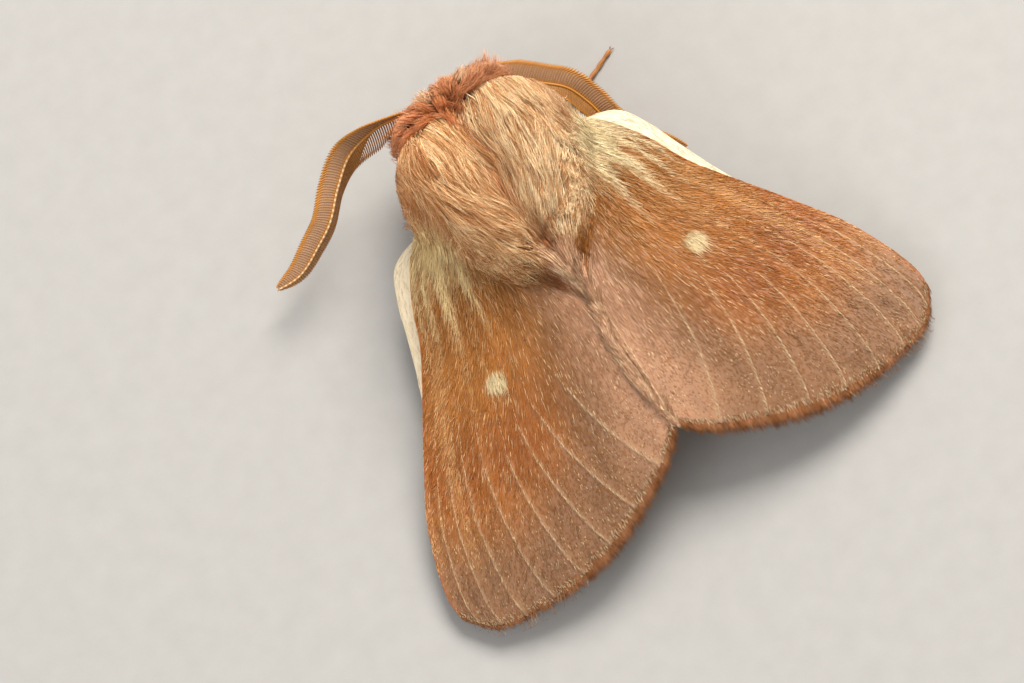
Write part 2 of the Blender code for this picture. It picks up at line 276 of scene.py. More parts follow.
def ringed(rows, tufts=0.0, parting=0.0, keel=0.0):
    """surface(along, around, inset): an ellipse at each place along the rows, drawn in by inset.
    tufts raises the back on both sides by sin(2 angle)^2, parting sinks its middle by a bell
    curve, and keel narrows the underside."""
    widest = max(row[1] for row in rows)

    def surface(along, around, inset=0.0):
        rings = on_curve(rows, along)
        angle = TURN * np.asarray(around)
        outwards, upwards = np.cos(angle), np.sin(angle)
        half_width = np.maximum(rings[..., 1] - inset, 0.0)
        half_height = np.maximum((rings[..., 3] - rings[..., 2]) / 2 - inset, 0.0)
        share = half_width / widest * (upwards > 0)
        across = half_width * outwards * (1 - keel * np.maximum(0, -upwards))
        up = (rings[..., 3] + rings[..., 2]) / 2 + half_height * upwards
        up += share * (tufts * np.sin(2 * angle) ** 2 - parting * bell(outwards, 0.2))
        return np.stack([across, rings[..., 0], up], -1)

    return surface


def fitted(surface, node, uncut, tuck=0.0):
    """The surface stretched onto its node's box.  Widths and heights meet the box; lengthwise
    only the end that no neighbour cuts does, with the mean of the other two scales.  tuck draws
    both sides in, by as much as the hair on them stands out."""
    low, high = node_box(node) + np.outer([tuck, -tuck], [1, 0, 0])
    along, around = np.meshgrid(shares(60), shares(65))
    points = surface(along, around).reshape(-1, 3)
    own_low, own_high = points.min(0), points.max(0)
    scale = (high - low) / (own_high - own_low)
    if uncut != BOTH:
        scale[1] = (scale[0] + scale[2]) / 2
    offset = low - own_low * scale
    if uncut == REAR:
        offset[1] = high[1] - own_high[1] * scale[1]
    return lambda along, around, inset=0.0: surface(along, around, inset) * scale + offset


thorax = fitted(ringed(THORAX, tufts=0.65, parting=0.9, keel=0.3), "thorax", BOTH, tuck=0.25)
collar = fitted(ringed(COLLAR), "collar", FRONT)
head = fitted(ringed(HEAD), "head", FRONT)
abdomen = fitted(ringed(ABDOMEN), "abdomen", REAR)
print("thorax runs from", thorax(0.0, 0.25).round(2), "to", thorax(1.0, 0.25).round(2))

# %% [markdown]
# ## Wings as functions
# Each wing is a Coons patch: a blend of its four edges that reaches every point between them.
# The patch gives the place in plan, and one roof formula gives the height, so that the forewings
# meet in a low ridge over the midline.  Along runs from root to fringe, and back runs from the
# front edge to the edge on the midline.

# %% Wing outlines and the roof
FOREWING = {
    "costa": [
        (3.0, -7.2), (5.05, -6.0), (6.35, -4.25), (7.35, -2.1), (8.8, 0.0),
        (10.35, 2.2), (11.7, 4.35), (12.75, 7.3), (12.7, 8.9),
    ],
    "termen": [(12.7, 8.9), (11.6, 10.3), (9.4, 10.95), (6.6, 10.95), (3.7, 10.2), (1.4, 9.1), (0.3, 8.1)],
    "dorsum": [(2.2, -5.4), (1.0, -2.5), (0.3, 1.0), (0.28, 5.0), (0.3, 8.1)],
    "root": [(3.0, -7.2), (2.2, -5.4)],
}
HINDWING = {
    "costa": [
        (2.9, -6.4), (4.9, -6.6), (6.2, -6.3), (6.95, -5.05), (7.5, -3.5),
        (8.1, -1.85), (8.95, 0.2), (10.1, 3.6), (10.4, 6.6),
    ],
    "termen": [(10.4, 6.6), (9.3, 8.3), (7.0, 9.1), (4.6, 8.6), (3.0, 7.0)],
    "dorsum": [(2.3, -4.2), (2.2, 0.0), (2.4, 4.0), (3.0, 7.0)],
    "root": [(2.9, -6.4), (2.3, -4.2)],
}
HINDWING_DROP = 0.78  # mm below the forewings' roof
NEAR_FRINGE = 0.96  # from here a wing is drawn on in a straight line past its fringe


def plan_of(outline, along, back):
    """Coons patch: both ruled surfaces between opposite edges, less the patch of the corners.
    Past the fringe, where along is over 1, it runs straight on."""
    along, back = np.broadcast_arrays(np.asarray(along, float), np.asarray(back, float))
    if along.max(initial=0) > 1:
        outer, inner = (plan_of(outline, np.minimum(along, end), back) for end in (1.0, NEAR_FRINGE))
        past = np.maximum(along - 1, 0) / (1 - NEAR_FRINGE)
        return outer + (outer - inner) * past[..., None]
    corner = [np.array(outline[edge][end]) for end in (0, -1) for edge in ("costa", "dorsum")]
    a, b = along[..., None], back[..., None]
    between_long = on_curve(outline["costa"], along) * (1 - b) + on_curve(outline["dorsum"], along) * b
    between_short = on_curve(outline["root"], back) * (1 - a) + on_curve(outline["termen"], back) * a
    near = corner[0] * (1 - b) + corner[1] * b
    far = corner[2] * (1 - b) + corner[3] * b
    return between_long + between_short - near * (1 - a) - far * a


def roof(across, along):
    """Height of the forewings: a ridge that falls towards the tail, less a slope outwards,
    plus a low arch from ridge to edge."""
    ridge = 6.3 - 0.16 * along - 0.012 * along**2
    slope = 0.40 - 0.018 * along
    reach = 9.3 + 0.6 * along - 0.018 * along**2
    return ridge - slope * across + 0.35 * np.sin(math.pi * np.clip(across / reach, 0, 1))


edge = shares(400)
plan_rear = on_curve(FOREWING["termen"], edge)[:, 1].max()
shift = node_box("forewing_left")[1][1] - plan_rear
print("the frame puts the outlines", round(shift, 2), "mm further back")


def wing_surface(side, outline, drop, seam=0.0):
    """surface(along, back, lift): the wing's upper face, raised by lift.  seam draws the inner
    edge in towards the midline, where the two dressed wings meet."""

    def surface(along, back, lift=0.0):
        plan = plan_of(outline, along, back)
        drawn = seam * ramp(back, 0.75, 1.0) * ramp(along, 0.3, 0.5)
        across = plan[..., 0] - drawn
        up = roof(across, plan[..., 1]) - drop + lift
        return np.stack([side * across, plan[..., 1] + shift, up], -1)

    return surface


def wing_top(points):
    """Height of the forewings over the given points."""
    return roof(np.abs(points[..., 0]), points[..., 1] - shift)


SEAM = 0.26
forewings = {word: wing_surface(side, FOREWING, 0.0, SEAM) for word, side in SIDES.items()}
hindwings = {word: wing_surface(side, HINDWING, HINDWING_DROP) for word, side in SIDES.items()}
print("forewing tip at", forewings["left"](1.0, 0.0).round(2))

# %% [markdown]
# ## The colours
# A moth's colours are in its scales.  Skin, membrane, scales and fur read one pattern, worked
# out below as functions of place.  First come its named colours, as linear light values, and the
# course of the veins: where each one starts, and where it meets the fringe.

# %% Named colours and veins
FAWN = (0.86, 0.51, 0.22)
STRAW = (1.0, 0.81, 0.51)
RUST = (0.56, 0.17, 0.05)
RUSSET = (0.68, 0.26, 0.085)
BARK = (0.30, 0.12, 0.05)
TAUPE = (0.252, 0.119, 0.052)
TAWNY = (0.45, 0.176, 0.040)
UMBER = (0.25, 0.082, 0.016)
GOLD = (1.0, 0.86, 0.53)
# Gold with painted shade: deeper and less yellow, for the left side, which lies away from the light.
SHADED_GOLD = (1.0, 0.78, 0.40)
ROSE = (0.72, 0.39, 0.23)
SALMON = (0.80, 0.40, 0.21)
CREAM = (0.72, 0.58, 0.33)
IVORY = (0.89, 0.76, 0.54)
AMBER = (0.50, 0.21, 0.035)
LILAC = (0.36, 0.20, 0.12)
HONEY = (0.55, 0.31, 0.12)
VEINS = [  # start along, start back, and back at the fringe
    (0.30, 0.93, 1.01), (0.40, 0.62, 0.88), (0.56, 0.53, 0.74), (0.60, 0.45, 0.60), (0.64, 0.37, 0.47),
    (0.60, 0.26, 0.35), (0.60, 0.18, 0.24), (0.64, 0.115, 0.155), (0.68, 0.06, 0.07),
]
SPOT_ALONG, SPOT_BACK, SPOT_RADIUS = 0.478, 0.405, 0.53
# The left shoulder's gold carries painted shade; the right one is the plain gold.
SHOULDER = {"left": SHADED_GOLD, "right": GOLD}
CHORD = 11.0  # the forewing's breadth, for distances across the veins
SPAN = 16.0  # its length, for distances along them


def vein_back(vein, along):
    """Where a vein runs across the wing: a straight line in the wing's shares."""
    start, back_start, back_end = vein
    return back_start + (back_end - back_start) * np.clip((along - start) / (1 - start), 0, 1)


def vein_gap(along, back):
    """Distance in millimetres to the nearest vein, negative on its front side."""
    nearest = np.full(np.shape(along), 9.0)
    for vein in VEINS:
        gap = (back - vein_back(vein, along)) * CHORD * (0.35 + 0.65 * along)
        gap = gap + np.copysign(6 * np.maximum(0, vein[0] - along), gap)
        nearest = np.where(np.abs(gap) < np.abs(nearest), gap, nearest)
    return nearest


print("veins:", len(VEINS), "with the spot's middle at", (SPOT_ALONG, SPOT_BACK))

# %% [markdown]
# The marks are masks, each from 0 to 1: the spot, the gold patch at the shoulder and the bands
# are smooth ramps or bell curves of the wing's two shares, and sines make their edges ragged.

# %% The wings' pattern
def spot_mask(along, back):
    """1 inside the round spot, fading over its edge."""
    offset = plan_of(FOREWING, along, back) - plan_of(FOREWING, SPOT_ALONG, SPOT_BACK)
    return fall(np.linalg.norm(offset, axis=-1), SPOT_RADIUS * 0.75, SPOT_RADIUS * 1.15)


def mottle(across, down):
    """Uneven tone, about -1 to 1: sines of different pitch in crossed directions, per mm."""
    first = np.sin(2.3 * across + 1.1 * down + 2 * np.sin(1.7 * down))
    second = np.sin(3.1 * down - 4.4 * across + 2 * np.sin(2.9 * across))
    return 0.5 * first + 0.5 * second


def shoulder_mask(along, back):
    """1 on the gold patch by the body, with a ragged outer edge, weaker at the front edge."""
    waves = np.sin(5.1 * CHORD * back + 3 * np.sin(9.0 * back))
    ragged = along + 0.09 * waves * (0.3 + 3 * along)
    inner = fall(ragged, 0.10, 0.28) * fall(back, 0.38, 0.62)
    return inner * (0.8 + 0.2 * ramp(back, 0.05, 0.30))


def forewing_pattern(along, back, gold=GOLD):
    """Taupe towards the fringe and the midline, tawny towards the front edge with an umber band
    beyond the spot, the given gold at the shoulder, rose along the midline, pale veins with a line
    of painted shadow in front of them, and the cream spot over all."""
    warm = ramp(0.95 - 0.45 * along - 0.75 * back, 0.05, 0.42) * fall(along, 0.66, 0.88)
    colour = mix(TAUPE, TAWNY, warm)
    band = bell(along - 0.63, 0.14) * fall(back, 0.45, 0.80)
    colour = mix(colour, mix(UMBER, RUST, 0.25), 0.9 * band)
    colour = mix(colour, gold, 0.7 * shoulder_mask(along, back))
    colour = mix(colour, ROSE, 0.46 * ramp(back, 0.70, 0.97) * ramp(along, 0.25, 0.45))
    colour = colour * (1 + 0.10 * mottle(CHORD * back, SPAN * along * 0.5))[..., None]
    colour = mix(colour, RUST, 0.35 * fall(back, 0.0, 0.04))
    gap = vein_gap(along, back)
    # Painted shadow: a broken dark line in front of each raised vein towards the fringe.
    broken = 0.5 + 0.5 * np.sin(55 * along + 31 * back)
    colour = mix(colour, BARK, 0.6 * ramp(along, 0.70, 0.85) * broken * bell(gap + 0.08, 0.04))
    colour = mix(colour, STRAW, 0.15 * ramp(along, 0.5, 0.7) * bell(gap, 0.045))
    return mix(colour, CREAM, spot_mask(along, back))


def hindwing_pattern(along, back):
    """Cream on the lobe that shows in front of the forewing, and tawny behind it."""
    return mix(IVORY, TAWNY, 0.75 * ramp(back + 0.4 * along, 0.35, 0.75))


spot_colour = forewing_pattern(np.array([SPOT_ALONG]), np.array([SPOT_BACK]))
print("pattern at the spot:", spot_colour.round(2))

# %% [markdown]
# The body has its own pattern, by place.  The back's two great shoulder tufts end along a curved
# edge, so the pattern asks how far in front of that edge a place lies.

# %% The body's pattern
TUFT_EDGE = [
    (0.0, -1.8), (0.9, -1.15), (1.5, -1.0), (2.2, -1.3),
    (2.7, -1.8), (3.3, -2.9), (3.9, -4.6), (4.4, -6.6),
]
PARTING_X = 0.22  # the parting lies a little to the left of the middle
COLLAR_LINE = -9.5 + shift  # where the collar's rear edge meets the thorax's fur


def to_left(x, from_x=-1, to_x=1):
    """0 on the right side and 1 on the left, for looks that differ between the two, among them painted
    shade on the left, which lies away from the light.
    """
    return ramp(x, from_x, to_x)


def tuft_room(place):
    """How far a place in plan lies in front of the rear edge of the shoulder tufts, in mm.  The
    right tuft ends a little earlier than the left one."""
    out, edge_line = np.array(TUFT_EDGE).T
    reach = np.interp(np.abs(place[..., 0]), out, edge_line) + shift
    return reach - 0.6 * ramp(-place[..., 0], 0.0, 1.2) - place[..., 1]


def thorax_colour(place, tone):
    """Fawn with straw locks, rust in the parting, rosy at the front corners, gold where the wings
    begin, and behind the tufts the wings' rust with a rosy middle.  Painted light makes the right
    lobe paler; painted shade darkens the left lobe and the left gold, the notch between the tufts
    and two spots under the tufts' rear ends."""
    x, y, z = np.moveaxis(place, -1, 0)
    out = np.abs(x)
    # Painted light and shade: the right lobe gets more straw, and the left one less straw and darker tones,
    # as the light falls from the right.
    left = to_left(x, -0.5, 2.5)
    straw = ramp(tone + 0.12 * ramp(-x, 0.0, 1.5), 0.42, 0.88) * (1 - 0.35 * left)
    colour = mix(mix(RUSSET, FAWN, ramp(tone - 0.10 * left, 0.05, 0.55)), STRAW, straw)
    corner = ramp(out, 2.9, 4.4) * fall(y, -6.6, -5.2)
    colour = mix(colour, mix(ROSE, RUSSET, to_left(x)), corner * np.where(x > 0, 0.6, 0.4))
    groove = 0.22 + 0.40 * ramp(y, -4.2 + shift, -1.4 + shift)
    wander = PARTING_X + 0.12 * np.sin(1.7 * y)
    parting = bell(x - wander, groove)
    colour = mix(colour, mix(RUST, RUSSET, ramp(tone, 0.3, 0.8)), 0.85 * parting)
    # Painted shade in the notch between the two tufts, weaker on the paler hairs.
    notch_shade = bell(x, 0.8) * ramp(y, -2.6, -1.8) * fall(y, -0.6, 0.0)
    notch_shade = notch_shade * (1 - 0.7 * ramp(tone, 0.5, 0.8))
    colour = mix(colour, mix(RUST, BARK, 0.5), 0.75 * notch_shade)
    behind = fall(tuft_room(place), -0.3, 0.3)
    rear = mix(RUST, TAWNY, ramp(out, 0.5, 1.4))
    rear = mix(mix(ROSE, STRAW, 0.3), rear, ramp(out, 0.2, 0.7))
    # Two dark spots of painted shadow under the tufts' rear ends.
    rear = mix(rear, BARK, 0.85 * bell(x - 1.05, 0.5) + 0.6 * bell(x + 0.8, 0.35))
    colour = mix(colour, rear, behind)
    # On the left the gold carries painted shade.
    gold = mix(RUSSET, mix(GOLD, SHADED_GOLD, to_left(x)), 0.75 + 0.25 * ramp(tone, 0.15, 0.40))
    gilded = ramp(out, 3.2, 3.8) * ramp(y + 1.1 * ramp(out, 3.8, 4.2), -5.6, -4.7)
    colour = mix(colour, gold, gilded)
    return mix(colour, BARK, 0.45 * fall(z, 2.0, 3.8))


def ruff_colour(place, tone):
    """Rust at the collar's rear edge, darkest there partly as painted shade where the collar meets the
    thorax, salmon and paler in front, with two straw wisps.
    """
    x, y, z = np.moveaxis(place, -1, 0)
    # Towards the rear edge the collar darkens: its own rust, deepened by painted shade where it meets the
    # thorax.
    pale = (0.15 + 0.85 * ramp(-y, 9.6 - shift, 10.2 - shift)) * ramp(tone, 0.15, 0.75)
    colour = mix(mix(RUST, RUSSET, 0.3), SALMON, pale)
    wisps = np.clip(bell(x - 0.68, 0.22) + bell(x + 1.05, 0.16), 0, 1)
    wisps = 0.75 * wisps * ramp(-y, 9.75 - shift, 10.15 - shift) * ramp(z, 4.5, 5.5)
    colour = mix(colour, STRAW, wisps)
    lit = (1 + 0.2 * ramp(x, 0.0, 1.0))[..., None]
    colour = mix(colour * lit, LILAC, 0.35 * ramp(-x, 0.0, 1.5))
    return mix(colour, mix(ROSE, RUSSET, to_left(x)), 0.7 * ramp(np.abs(x), 2.4, 3.1))


def belly_colour(place, tone=None):
    """Tawny below, taupe above, with fawn rings."""
    y, z = place[..., 1], place[..., 2]
    return mix(mix(TAWNY, TAUPE, ramp(z, 2.0, 4.5)), FAWN, 0.4 + 0.2 * np.sin(4.4 * y))


def body_colour(place):
    """The skin's colour under the coat: collar and head, then thorax, then abdomen."""
    y = place[..., 1]
    behind_collar = ramp(y, -9.7 + shift, -9.1 + shift)
    trunk_front = mix(ruff_colour(place, 0.3), thorax_colour(place, 0.3), behind_collar)
    return 0.8 * mix(trunk_front, belly_colour(place), ramp(y, -1.5, 0.5))


shoulder_place = np.array([4.2, -4.5, 6.0])
print("thorax over the left wing's root:", thorax_colour(shoulder_place, 0.5).round(2))

# %% [markdown]
# ## Materials
# Two effects are shared as node groups: one paints shade on a hair, darker at the root and lighter
# at the tip, and one breaks up a face with fine streaks.  Shaders stay in the materials themselves.

# %% Node groups
def new_group(name, inputs, outputs):
    """An empty shader node group with named sockets, each (name, kind, default)."""
    group = bpy.data.node_groups.new(name, "ShaderNodeTree")
    for word, sockets in (("INPUT", inputs), ("OUTPUT", outputs)):
        for title, kind, *default in sockets:
            socket = group.interface.new_socket(title, in_out=word, socket_type="NodeSocket" + kind)
            if default:
                socket.default_value = default[0]
    return group, group.nodes.new("NodeGroupInput"), group.nodes.new("NodeGroupOutput")


def add_math(tree, operation, first, second=None, third=None):
    """A Math node whose sockets take links or numbers; gives its output."""
    node = tree.nodes.new("ShaderNodeMath")
    node.operation = operation
    for socket, value in zip(node.inputs, (first, second, third)):
        if isinstance(value, bpy.types.NodeSocket):
            tree.links.new(value, socket)
        elif value is not None:
            socket.default_value = value
    return node.outputs[0]


def add_scaled(tree, colour, factor):
    """A colour times a number."""
    node = tree.nodes.new("ShaderNodeVectorMath")
    node.operation = "SCALE"
    tree.links.new(colour, node.inputs[0])
    tree.links.new(factor, node.inputs["Scale"])
    return node.outputs[0]


def set_sockets(node, **values):
    """The node, with the given values on its named sockets."""
    for socket, value in values.items():
        node.inputs[socket].default_value = value
    return node


def add_texture(tree, kind, place, **values):
    """A texture node of the given kind over a place."""
    node = set_sockets(tree.nodes.new(f"ShaderNodeTex{kind}"), **values)
    tree.links.new(place, node.inputs["Vector"])
    return node


def make_hair_tone_and_shade():
    """Colour of a hair: the pattern's colour with painted shade, darker at the root and lighter at
    the tip, and lighter or darker as a whole by the hair's own tone."""
    group, given, result = new_group(
        "hair_tone_and_shade",
        [
            ("Pattern", "Color", (0.8, 0.6, 0.4, 1)), ("Along", "Float", 0.5), ("Tone", "Float", 0.5),
            ("Root", "Float", 0.5), ("Tip", "Float", 1.2), ("Contrast", "Float", 0.5),
        ],
        [("Color", "Color")],
    )
    pattern, along, tone, root, tip, contrast = given.outputs[:6]
    rise = add_math(group, "POWER", along, 0.7)
    span = add_math(group, "SUBTRACT", tip, root)
    length_shade = add_math(group, "MULTIPLY_ADD", rise, span, root)
    off_middle = add_math(group, "SUBTRACT", tone, 0.5)
    tone_shade = add_math(group, "MULTIPLY_ADD", off_middle, contrast, 1.0)
    shade = add_math(group, "MULTIPLY", length_shade, tone_shade)
    group.links.new(add_scaled(group, pattern, shade), result.inputs["Color"])
    return group


def make_streaks():
    """Fine streaks over a face: noise stretched along the first coordinate, as a shade for
    the colour and as a height for the bump."""
    group, given, result = new_group(
        "streaks",
        [("Vector", "Vector"), ("Scale", "Float", 1.0), ("Contrast", "Float", 0.4)],
        [("Shade", "Float"), ("Height", "Float")],
    )
    noise = add_texture(group, "Noise", given.outputs["Vector"], Detail=4.0, Roughness=0.65)
    group.links.new(given.outputs["Scale"], noise.inputs["Scale"])
    off_middle = add_math(group, "SUBTRACT", noise.outputs[0], 0.5)
    shade = add_math(group, "MULTIPLY_ADD", off_middle, given.outputs["Contrast"], 1.0)
    group.links.new(shade, result.inputs["Shade"])
    group.links.new(noise.outputs[0], result.inputs["Height"])
    return group


hair_tone_and_shade = make_hair_tone_and_shade()
streaks = make_streaks()
print("node groups:", hair_tone_and_shade.name, "and", streaks.name)

# %% [markdown]
# Each material is one Principled shader.  Hair and scales pass their pattern through the shared
# hair group, whose painted shade is darker at the root and lighter at the tip.
# Skin and wing faces multiply theirs by the streaks, with a faint bump from the same noise.
# Little specular light and no sheen keep dense fur from looking wet or frosted.

# %% Materials
def new_material(name, roughness, sheen=0.0, coat=0.0, specular=0.5):
    """A Principled material with its constant values set on the shader's own sockets."""
    material = bpy.data.materials.new(name)
    material.use_nodes = True
    shader = material.node_tree.nodes["Principled BSDF"]
    shader.inputs["Roughness"].default_value = roughness
    shader.inputs["Sheen Weight"].default_value = sheen
    shader.inputs["Coat Weight"].default_value = coat
    shader.inputs["Specular IOR Level"].default_value = specular
    return material, material.node_tree, shader


def attribute(tree, name):
    """A node that reads one of the values stored on the points."""
    node = tree.nodes.new("ShaderNodeAttribute")
    node.attribute_name = name
    return node


def add_group(tree, group, **values):
    """A node of a shared group, with the given values on its sockets."""
    node = tree.nodes.new("ShaderNodeGroup")
    node.node_tree = group
    return set_sockets(node, **values)


def object_place(tree):
    """Each point's place in the object's own coordinates."""
    return tree.nodes.new("ShaderNodeTexCoord").outputs["Object"]


def add_tones(tree, value, low, high):
    """A colour between two, by a value from 0 to 1."""
    node = tree.nodes.new("ShaderNodeValToRGB")
    node.color_ramp.elements[0].color = low
    node.color_ramp.elements[1].color = high
    tree.links.new(value, node.inputs["Fac"])
    return node.outputs["Color"]


def link_bump(tree, shader, height, strength, distance):
    """A Bump node between a height and the shader's normal; distance is in millimetres."""
    relief = tree.nodes.new("ShaderNodeBump")
    set_sockets(relief, Strength=strength, Distance=distance * MM)
    tree.links.new(height, relief.inputs["Height"])
    tree.links.new(relief.outputs["Normal"], shader.inputs["Normal"])
    return relief


def hair_material(name, root, tip, contrast, roughness=0.5, sheen=0.0, specular=0.3):
    """Hair or scales: the pattern through the shared hair group.  root and tip are its painted shades
    at both ends, and contrast says how far the hairs differ from each other."""
    material, tree, shader = new_material(name, roughness, sheen, specular=specular)
    tint = add_group(tree, hair_tone_and_shade, Root=root, Tip=tip, Contrast=contrast)
    for layer, kind in (("pattern", "Color"), ("along", "Fac"), ("tone", "Fac")):
        tree.links.new(attribute(tree, layer).outputs[kind], tint.inputs[layer.title()])
    tree.links.new(tint.outputs["Color"], shader.inputs["Base Color"])
    return material


def face_material(name, stretch, contrast, bump, roughness=0.6):
    """Skin and wing faces: the pattern times fine streaks.  stretch is the pattern's scale, in
    streaks for each metre, along each axis."""
    material, tree, shader = new_material(name, roughness)
    mapping = set_sockets(tree.nodes.new("ShaderNodeMapping"), Scale=stretch)
    tree.links.new(object_place(tree), mapping.inputs["Vector"])
    fine = add_group(tree, streaks, Contrast=contrast)
    tree.links.new(mapping.outputs[0], fine.inputs["Vector"])
    pattern = attribute(tree, "pattern").outputs["Color"]
    tree.links.new(add_scaled(tree, pattern, fine.outputs["Shade"]), shader.inputs["Base Color"])
    link_bump(tree, shader, fine.outputs["Height"], bump, 0.03)
    return material


# The second and third numbers are painted shade at each hair's root and painted light at its tip.
FUR = hair_material("thorax_fur", 0.81, 1.07, 0.58, specular=0.15)
RUFF = hair_material("collar_fur", 0.68, 1.15, 0.6, specular=0.2)
SHORT_FUR = hair_material("body_fur", 0.70, 1.1, 0.5, specular=0.2)
SCALES = hair_material("wing_scales", 0.90, 1.08, 0.50, specular=0.10)
PALE_SCALES = hair_material("hindwing_scales", 0.88, 1.04, 0.35, sheen=0.1)
GOLD_SCALES = hair_material("shoulder_scales", 0.95, 1.06, 0.40, specular=0.2)
HORN = hair_material("feeler_horn", 0.9, 1.1, 0.35, roughness=0.35)
CLAW = hair_material("claw_horn", 0.6, 0.8, 0.1, roughness=0.3)
SKIN = face_material("skin", (6000, 6000, 6000), 0.6, 0.5)
WING_FACE = face_material("wing_face", (12000, 7000, 12000), 0.35, 0.3, 0.5)
print("materials:", len(bpy.data.materials))

# %% [markdown]
# ## The skin
# Under its coat a moth's head, chest and belly are one horny skin.  Here it is one closed tube
# from the face to the tail.  Four masses, each the frame's box less the coat's depth, are joined
# by a soft maximum: the fourth root of the sum of their fourth powers.

# %% Trunk of the skin
COAT_DEPTH = {"head": 0.35, "collar": 0.7, "thorax": 1.15, "abdomen": 0.55}
AROUND, STATIONS = 72, 150
NOTHING = 1e-12  # keeps the ends' divisions and roots away from zero


def trunk(along, around):
    """The skin's trunk.  A mass i has half sizes a_i at its middle and sqrt(1 - t^2) of them at
    a distance t of its half length; the trunk's half size is (sum of the masses^4)^(1/4)."""
    boxes = {node: node_box(node) for node in COAT_DEPTH}
    front = boxes["head"][0][1] + COAT_DEPTH["head"]
    tail = boxes["abdomen"][1][1] - COAT_DEPTH["abdomen"]
    y = front + (tail - front) * (1 - np.cos(math.pi * along)) / 2
    wide, high, centre, weights = NOTHING, NOTHING, 0.0, NOTHING
    for node, depth in COAT_DEPTH.items():
        low, top = boxes[node]
        half = (top - low) / 2 - depth
        middle = (top + low) / 2
        share = np.sqrt(np.clip(1 - ((y - middle[1]) / half[1]) ** 2, 0, 1))
        wide = wide + (half[0] * share) ** 4
        high = high + (half[2] * share) ** 4
        centre = centre + middle[2] * (share**4 + 1e-9)
        weights = weights + share**4 + 1e-9
    angle = TURN * around
    return np.stack([wide**0.25 * np.cos(angle), y, centre / weights + high**0.25 * np.sin(angle)], -1)


def closed_tube(surface, rows, columns):
    """Points and faces of a tube of surface(along, around), its ends closed by one face each."""
    along, around = square_grid(shares(rows), np.arange(columns) / columns)
    points = surface(along, around)
    start = np.arange(columns)
    ends = [start[None, :], ((rows - 1) * columns + start)[None, ::-1]]
    return points, [grid_quads(rows, columns, closed=True)] + ends


skin_points, skin_faces = closed_tube(trunk, STATIONS, AROUND)
print("trunk of the skin:", len(skin_points), "points")

# %% [markdown]
# A leg's place is read from its three solids.  The long axis of a solid is the first singular
# vector of its points, and its ends are where it reaches furthest along that axis.  A smooth
# curve through hip, knee, ankle and toe carries a tube that swells at thigh and shin and beads
# along the foot.

# %% Legs of the skin
LEG_NAMES = [f"{pair}_{word}" for pair in ("foreleg", "midleg", "hindleg") for word in SIDES]


def ends_of(node):
    """The two ends of a leg's solid: a thigh's inner end first, the others' upper end first."""
    count = len(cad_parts[node].data.vertices)
    points = np.empty(count * 3, np.float32)
    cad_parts[node].data.vertices.foreach_get("co", points)
    points = points.reshape(-1, 3).astype(float) / MM
    axis = np.linalg.svd(points - points.mean(0), full_matrices=False)[2][0]
    reach = (points - points.mean(0)) @ axis
    ends = [points[reach < reach.min() + 0.12].mean(0), points[reach > reach.max() - 0.12].mean(0)]
    return sorted(ends, key=lambda end: abs(end[0]) if "thigh" in node else -end[2])


def leg_path(name):
    """Points on the middle of a leg: hip, thigh, knee, shin, ankle, the foot's first touch of
    the ground, and the toe."""
    hip, knee = ends_of(f"{name}_thigh")
    knee_below, ankle = ends_of(f"{name}_shin")
    heel, toe = ends_of(f"{name}_foot")
    knee = (knee + knee_below) / 2
    ankle = (ankle + heel) / 2
    ground = ankle * 0.62 + toe * 0.38
    ground[2] = 0.2
    toe[2] = 0.14
    thigh = (hip + knee) / 2 + [0, 0, 0.1]
    return np.array([hip, thigh, knee, (knee + ankle) / 2, ankle, ground, toe])


def leg_marks(path):
    """Shares of the path's length at the knee and the ankle."""
    spans = np.linalg.norm(np.diff(path, axis=0), axis=1)
    marks = np.cumsum(spans) / spans.sum()
    return marks[1], marks[3]


def leg_girth(share, knee, ankle):
    """Radius along a leg: thigh and shin are spindles, and the foot is five small beads."""
    thigh = 0.20 + 0.16 * np.sin(math.pi * np.clip(share / knee, 0, 1))
    shin = 0.15 + 0.13 * np.sin(math.pi * np.clip((share - knee) / (ankle - knee), 0, 1)) ** 0.8
    step = np.clip((share - ankle) / (1 - ankle), 0, 1)
    foot = (0.125 - 0.03 * step) * (0.72 + 0.28 * np.abs(np.sin(5 * math.pi * step)))
    return np.where(share < knee, thigh, np.where(share < ankle, shin, foot))


def tube_round(path_at, girth, along, around):
    """Point on a tube: centre + girth * (cos * sideways + sin * upwards), level sideways."""
    centre = path_at(along)
    ahead = unit(path_at(along + 0.004) - path_at(along - 0.004))
    sideways = unit(np.cross(ahead, UP))
    upwards = np.cross(sideways, ahead)
    angle = TURN * np.asarray(around)[..., None]
    return centre + girth[..., None] * (np.cos(angle) * sideways + np.sin(angle) * upwards)


def leg_surface(name):
    """surface(along, around, inset) of one leg, rounded off at hip and toe."""
    path = leg_path(name)
    knee, ankle = leg_marks(path)

    def surface(along, around, inset=0.0):
        rounded = np.sqrt(np.clip(1 - np.abs(2 * along - 1) ** 60, 0.02, 1))
        girth = leg_girth(along, knee, ankle) * rounded
        return tube_round(partial(on_curve, path), girth - inset, along, around)

    return surface


legs = {name: leg_surface(name) for name in LEG_NAMES}
for name, surface in legs.items():
    points, faces = closed_tube(surface, rows=90, columns=12)
    skin_faces += [face + len(skin_points) for face in faces]
    skin_points = np.vstack([skin_points, points])
print("skin with legs:", len(skin_points), "points")

# %% [markdown]
# Trunk and legs become one mesh, so no seam shows between them.  It takes the coat's pattern a
# little darker, and stands for every solid of flesh.

